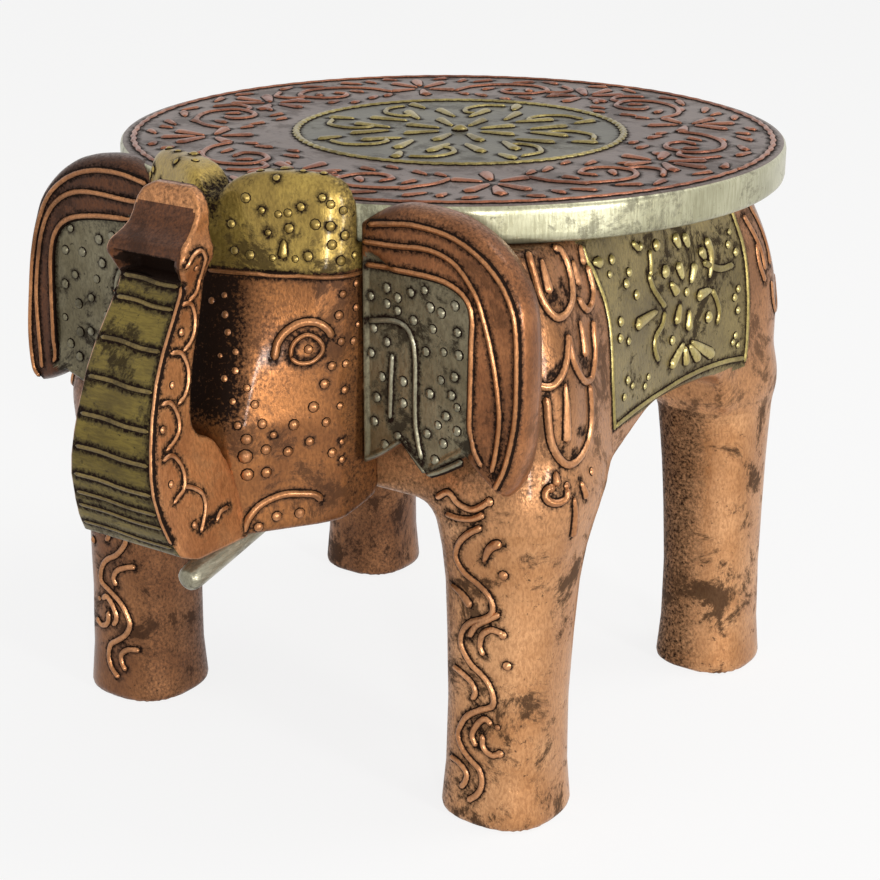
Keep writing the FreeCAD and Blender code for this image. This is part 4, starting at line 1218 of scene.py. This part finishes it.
piping("piping_ear_borders", "ear_paint", face_line, ear_copper)
piping("piping_ear_fields", "ear_paint", silver_line, ear_field_parts)

# %% Trunk
scallops = [
    [(-158.5, 189.5), (-155.5, 192.5), (-152, 193.6), (-150.2, 192), (-149.8, 188.5), (-150.5, 184),
     (-152.5, 180.5), (-156, 178.8)],
    [(-159, 178.5), (-155, 178), (-153.6, 174), (-154.5, 169.5), (-156.8, 166.5), (-160, 164.8)],
    [(-165.5, 165.5), (-161, 164.5), (-158.8, 160), (-159, 155.5), (-161.3, 151.5), (-164.5, 149.8)],
    [(-171.5, 151.5), (-167.5, 151), (-165, 146.5), (-165, 142.5), (-167.5, 139.5), (-171.5, 137.5)],
    [(-173.5, 135), (-169.5, 135.5), (-166.5, 132.5), (-165, 128), (-166, 124), (-169, 122.3), (-171, 121)],
    [(-166.5, 125), (-162.5, 123.5), (-158.5, 120.5), (-157.5, 116.5), (-159.5, 112), (-161.5, 109)],
    [(-154, 110), (-151.5, 112.5), (-147.8, 112.8)],
]
trunk_spots = [(-153, 188.5, 2), (-160, 170.5, 2.3), (-166, 156, 2.3), (-172, 144, 2.3), (-171, 127, 2.3),
               (-163.5, 112, 2.4)]
trunk_parts = []
for side in (1, -1):
    flank = side_of_trunk(side)
    trunk_parts += ridges(flank, scallops, 1.2, 0.7)
    trunk_parts += dots(flank, trunk_spots)
trunk_edge = [(trunk_half(z) - 0.9, z) for z in (109, 118, 131, 145, 160, 172, 183.5)]
trunk_parts += ridges(front_of_trunk, [trunk_edge], 1.0, 0.6)
piping("piping_trunk", "copper_paint", copper_line, trunk_parts)
rib_parts = []
for z in rib_heights:
    half = trunk_half(z) - 2.2
    rib_parts += ridges(front_of_trunk, [[(-half, z + 0.4), (-half / 3, z + 0.5), (half / 3, z - 0.2),
                                          (half, z - 0.1)]], 1.1, 0.4)
piping("piping_trunk_ribs", "gold_paint", rib_line, rib_parts)

# %% [markdown]
# ## Where the wash and the painted shade gather
# Along every ridge the wash is thickest against its foot and thins out within 3 mm. Painted
# shade, with some wash, is added where shade falls: behind and under the ears, under the seat,
# between and inside the legs, beside the trunk, in its mouth and under the jaw. Each base piece
# keeps the darker of the two as a number on its points, which the paint reads.

# %% Wash
centres = np.concatenate(piped_points + wash_and_shade_places).astype(np.float32)
# Places near which the level darkens: ridge feet and loops for the wash, and the face beside the trunk for
# painted shade.
print("places that hold wash:", len(centres))
centres = centres[::2]
wash_reach, block_size = 3.4, 4000


def shade_and_wash_of_torso(x, y, z):
    """Painted shade behind and under the ears, under the seat and between the legs."""
    behind_ears = 0.55 * smooth_step(-84, -98, y) * smooth_step(100, 128, z)
    under_seat = 0.6 * smooth_step(181, 190, z)
    under_belly = 0.45 * smooth_step(80, 60, np.abs(x)) * smooth_step(125, 112, z) * smooth_step(78, 68, y)
    return np.maximum(np.maximum(behind_ears, under_seat), under_belly)


def shade_and_wash_of_head(x, y, z):
    """Painted shade, with some wash, beside the trunk, across the face near it, between the domes, under
    the jaw and against the ears and the seat.
    """
    x = np.abs(x)
    nose_half, nose_y = nose_edge(z)
    along = (x - nose_half) * 0.54 + (y - nose_y) * 0.84
    trunk_side = 0.9 * smooth_step(15, 0, along) * smooth_step(124, 144, z) * smooth_step(188, 179, z)
    shade = 0.42 * smooth_step(32, 6, along) * smooth_step(118, 158, z) * (z < 183)
    groove = 0.75 * smooth_step(9, 3, x) * smooth_step(188, 200, z)
    ear_side = 0.55 * smooth_step(-118, -111, y)
    level = np.maximum(np.maximum(trunk_side, shade), np.maximum(groove, ear_side))
    return np.maximum(level, 0.5 * smooth_step(104, 101, z))


def shade_and_wash_of_trunk(x, y, z):
    """Painted shade on the side towards the face and inside the mouth, and a little darker on the whole
    tip.
    """
    back = np.interp(z, trunk_back_z, trunk_back_y)
    towards_face = 0.8 * smooth_step(-3, -0.5, y - back) * (z > 137)
    mouth = 0.95 * ((z > 184) & (z < 192) & (y < -149) & (np.abs(x) < 11.9))
    return np.maximum(np.maximum(towards_face, mouth), 0.35 * (z > 192))


def shade_and_wash_of_leg(x, y, z):
    """Painted shade on the inner side of a front leg and the inner front of a rear leg, and a little darker
    round the foot.
    """
    inner = np.degrees(np.arctan2(np.abs(x) - 79, np.abs(y + 12) - 68))
    front_leg = 0.42 * smooth_step(-5, -40, inner) * (y < 0)
    inner_front = 0.6 * (np.abs(x) - 79) + 0.8 * (y - 58)
    rear_leg = np.where(x > 0, 0.62, 0.42) * smooth_step(-5, -16, inner_front) * (y > 0)
    return np.maximum(np.maximum(front_leg, rear_leg), 0.3 * smooth_step(5, 0, z))


def shade_and_wash_of_ear(x, y, z):
    """Painted shade near the head, and darker at the top of the field."""
    return np.maximum(0.32 * smooth_step(48, 42, np.abs(x)), 0.4 * smooth_step(172, 184, z) * (y > -109.4))


shade_and_wash = {torso: shade_and_wash_of_torso, head: shade_and_wash_of_head, trunk: shade_and_wash_of_trunk,
           ear_left: shade_and_wash_of_ear, ear_right: shade_and_wash_of_ear}
for leg in legs:
    shade_and_wash[leg] = shade_and_wash_of_leg
for piece in [seat, torso, head, trunk, ear_left, ear_right] + legs:
    mesh = piece.data
    places = np.empty(len(mesh.vertices) * 3, np.float32)
    mesh.vertices.foreach_get("co", places)
    places = places.reshape(-1, 3) * 1000 - np.array((0, axis_y, 0), np.float32)
    level = np.zeros(len(places), np.float32)
    near = centres[((centres > places.min(0) - 5) & (centres < places.max(0) + 5)).all(1)]
    for start in range(0, len(places) if len(near) else 0, block_size):
        block = places[start:start + block_size]
        square = (block ** 2).sum(1)[:, None] + (near ** 2).sum(1) - 2 * block @ near.T
        gap = np.sqrt(np.maximum(square.min(1), 0))
        level[start:start + block_size] = 0.8 * np.clip((wash_reach - gap) / 2, 0, 1)
    # The level is the larger of the wash at the ridges' feet and the piece's painted shade.
    if piece in shade_and_wash:
        level = np.maximum(level, shade_and_wash[piece](*places.T).astype(np.float32))
    store = mesh.attributes.new("wash_and_shade", "FLOAT", "POINT")
    store.data.foreach_set("value", level)
    print(piece.name, "wash mean", round(float(level.mean()), 3))

# %% [markdown]
# ## Camera and light
# The camera's place was worked out from the round seat and the four feet in the photograph.
# A soft box stands on the right, a small window in front gives the glints on the brow and the
# domes, and a white room fills the shadows.

# %% Camera
def studio_camera():
    target = metres((7.025, -17.353, 93.995))
    azimuth, elevation, roll = (math.radians(angle) for angle in (34.907, 19.698, 0.231))
    away = Vector((math.sin(azimuth) * math.cos(elevation), -math.cos(azimuth) * math.cos(elevation),
                   math.sin(elevation)))
    data = bpy.data.cameras.new("camera")
    data.lens = 83.856
    data.sensor_width = 36
    camera = bpy.data.objects.new("camera", data)
    bpy.context.scene.collection.objects.link(camera)
    camera.location = Vector(target) + away * 0.740569
    camera.rotation_mode = "QUATERNION"
    camera.rotation_quaternion = (-away).to_track_quat("-Z", "Y") @ Quaternion((0, 0, 1), roll)
    bpy.context.scene.camera = camera


studio_camera()

# %% Light
def lamp(name, place, aim, size, power):
    """An oval soft light. It lights and shows in the lacquer, but no camera sees it."""
    data = bpy.data.lights.new(name, "AREA")
    data.shape = "ELLIPSE"
    data.size, data.size_y = size
    data.energy = power
    light = bpy.data.objects.new(name, data)
    bpy.context.scene.collection.objects.link(light)
    light.location = place
    light.visible_camera = False
    light.rotation_mode = "QUATERNION"
    light.rotation_quaternion = (Vector(aim) - Vector(place)).to_track_quat("-Z", "Y")


lamp("box on the right", (1.3, -0.3, 0.3), (0, 0, 0.1), (0.24, 0.45), 10)
lamp("small window in front", (0.98, -1.02, 0.24), (0, 0, 0.13), (0.12, 0.32), 7)
lamp("box above", (0.7, 0.6, 1.5), (0, 0, 0.1), (0.7, 0.7), 6)
lamp("fill from the left", (-0.9, -1.5, 0.7), (0, 0, 0.1), (1.2, 1.2), 1.5)


def straight_rays(tree):
    """1 for what the camera sees, straight, in a mirror or through glass, and 0 for scattered light."""
    rays = tree.nodes.new("ShaderNodeLightPath")
    seen = add(tree, "Math", {0: rays.outputs["Is Camera Ray"], 1: rays.outputs["Is Glossy Ray"]},
               operation="MAXIMUM")
    return add(tree, "Math", {0: seen, 1: rays.outputs["Is Transmission Ray"]}, operation="MAXIMUM")


world = bpy.data.worlds.new("white room")
bpy.context.scene.world = world
world.use_nodes = True
tree = world.node_tree
background = tree.nodes["Background"]
strength = add(tree, "MapRange", {"Value": straight_rays(tree), "To Min": 0.42, "To Max": 1.0})
background.inputs["Color"].default_value = linear("#ffffff")
tree.links.new(strength, background.inputs["Strength"])
bpy.context.scene.view_settings.view_transform = "Standard"

# %% Floor
floor_mesh = bpy.data.meshes.new("floor")
floor_mesh.from_pydata([(-4, -4, 0), (4, -4, 0), (4, 4, 0), (-4, 4, 0)], [], [(0, 1, 2, 3)])
floor = bpy.data.objects.new("floor", floor_mesh)
bpy.context.scene.collection.objects.link(floor)
paper = bpy.data.materials.new("white paper")
paper.use_nodes = True
tree = paper.node_tree
tree.nodes.clear()
glow = add(tree, "Math", {0: straight_rays(tree), 1: 0.84}, operation="MULTIPLY")
matt = add(tree, "BsdfDiffuse", {"Color": linear("#f4f3f1")})
white = add(tree, "Emission", {"Color": linear("#ffffff"), "Strength": 1.0})
mixed = tree.nodes.new("ShaderNodeMixShader")
tree.links.new(glow, mixed.inputs[0])
tree.links.new(matt, mixed.inputs[1])
tree.links.new(white, mixed.inputs[2])
tree.links.new(mixed.outputs[0], tree.nodes.new("ShaderNodeOutputMaterial").inputs["Surface"])
floor_mesh.materials.append(paper)
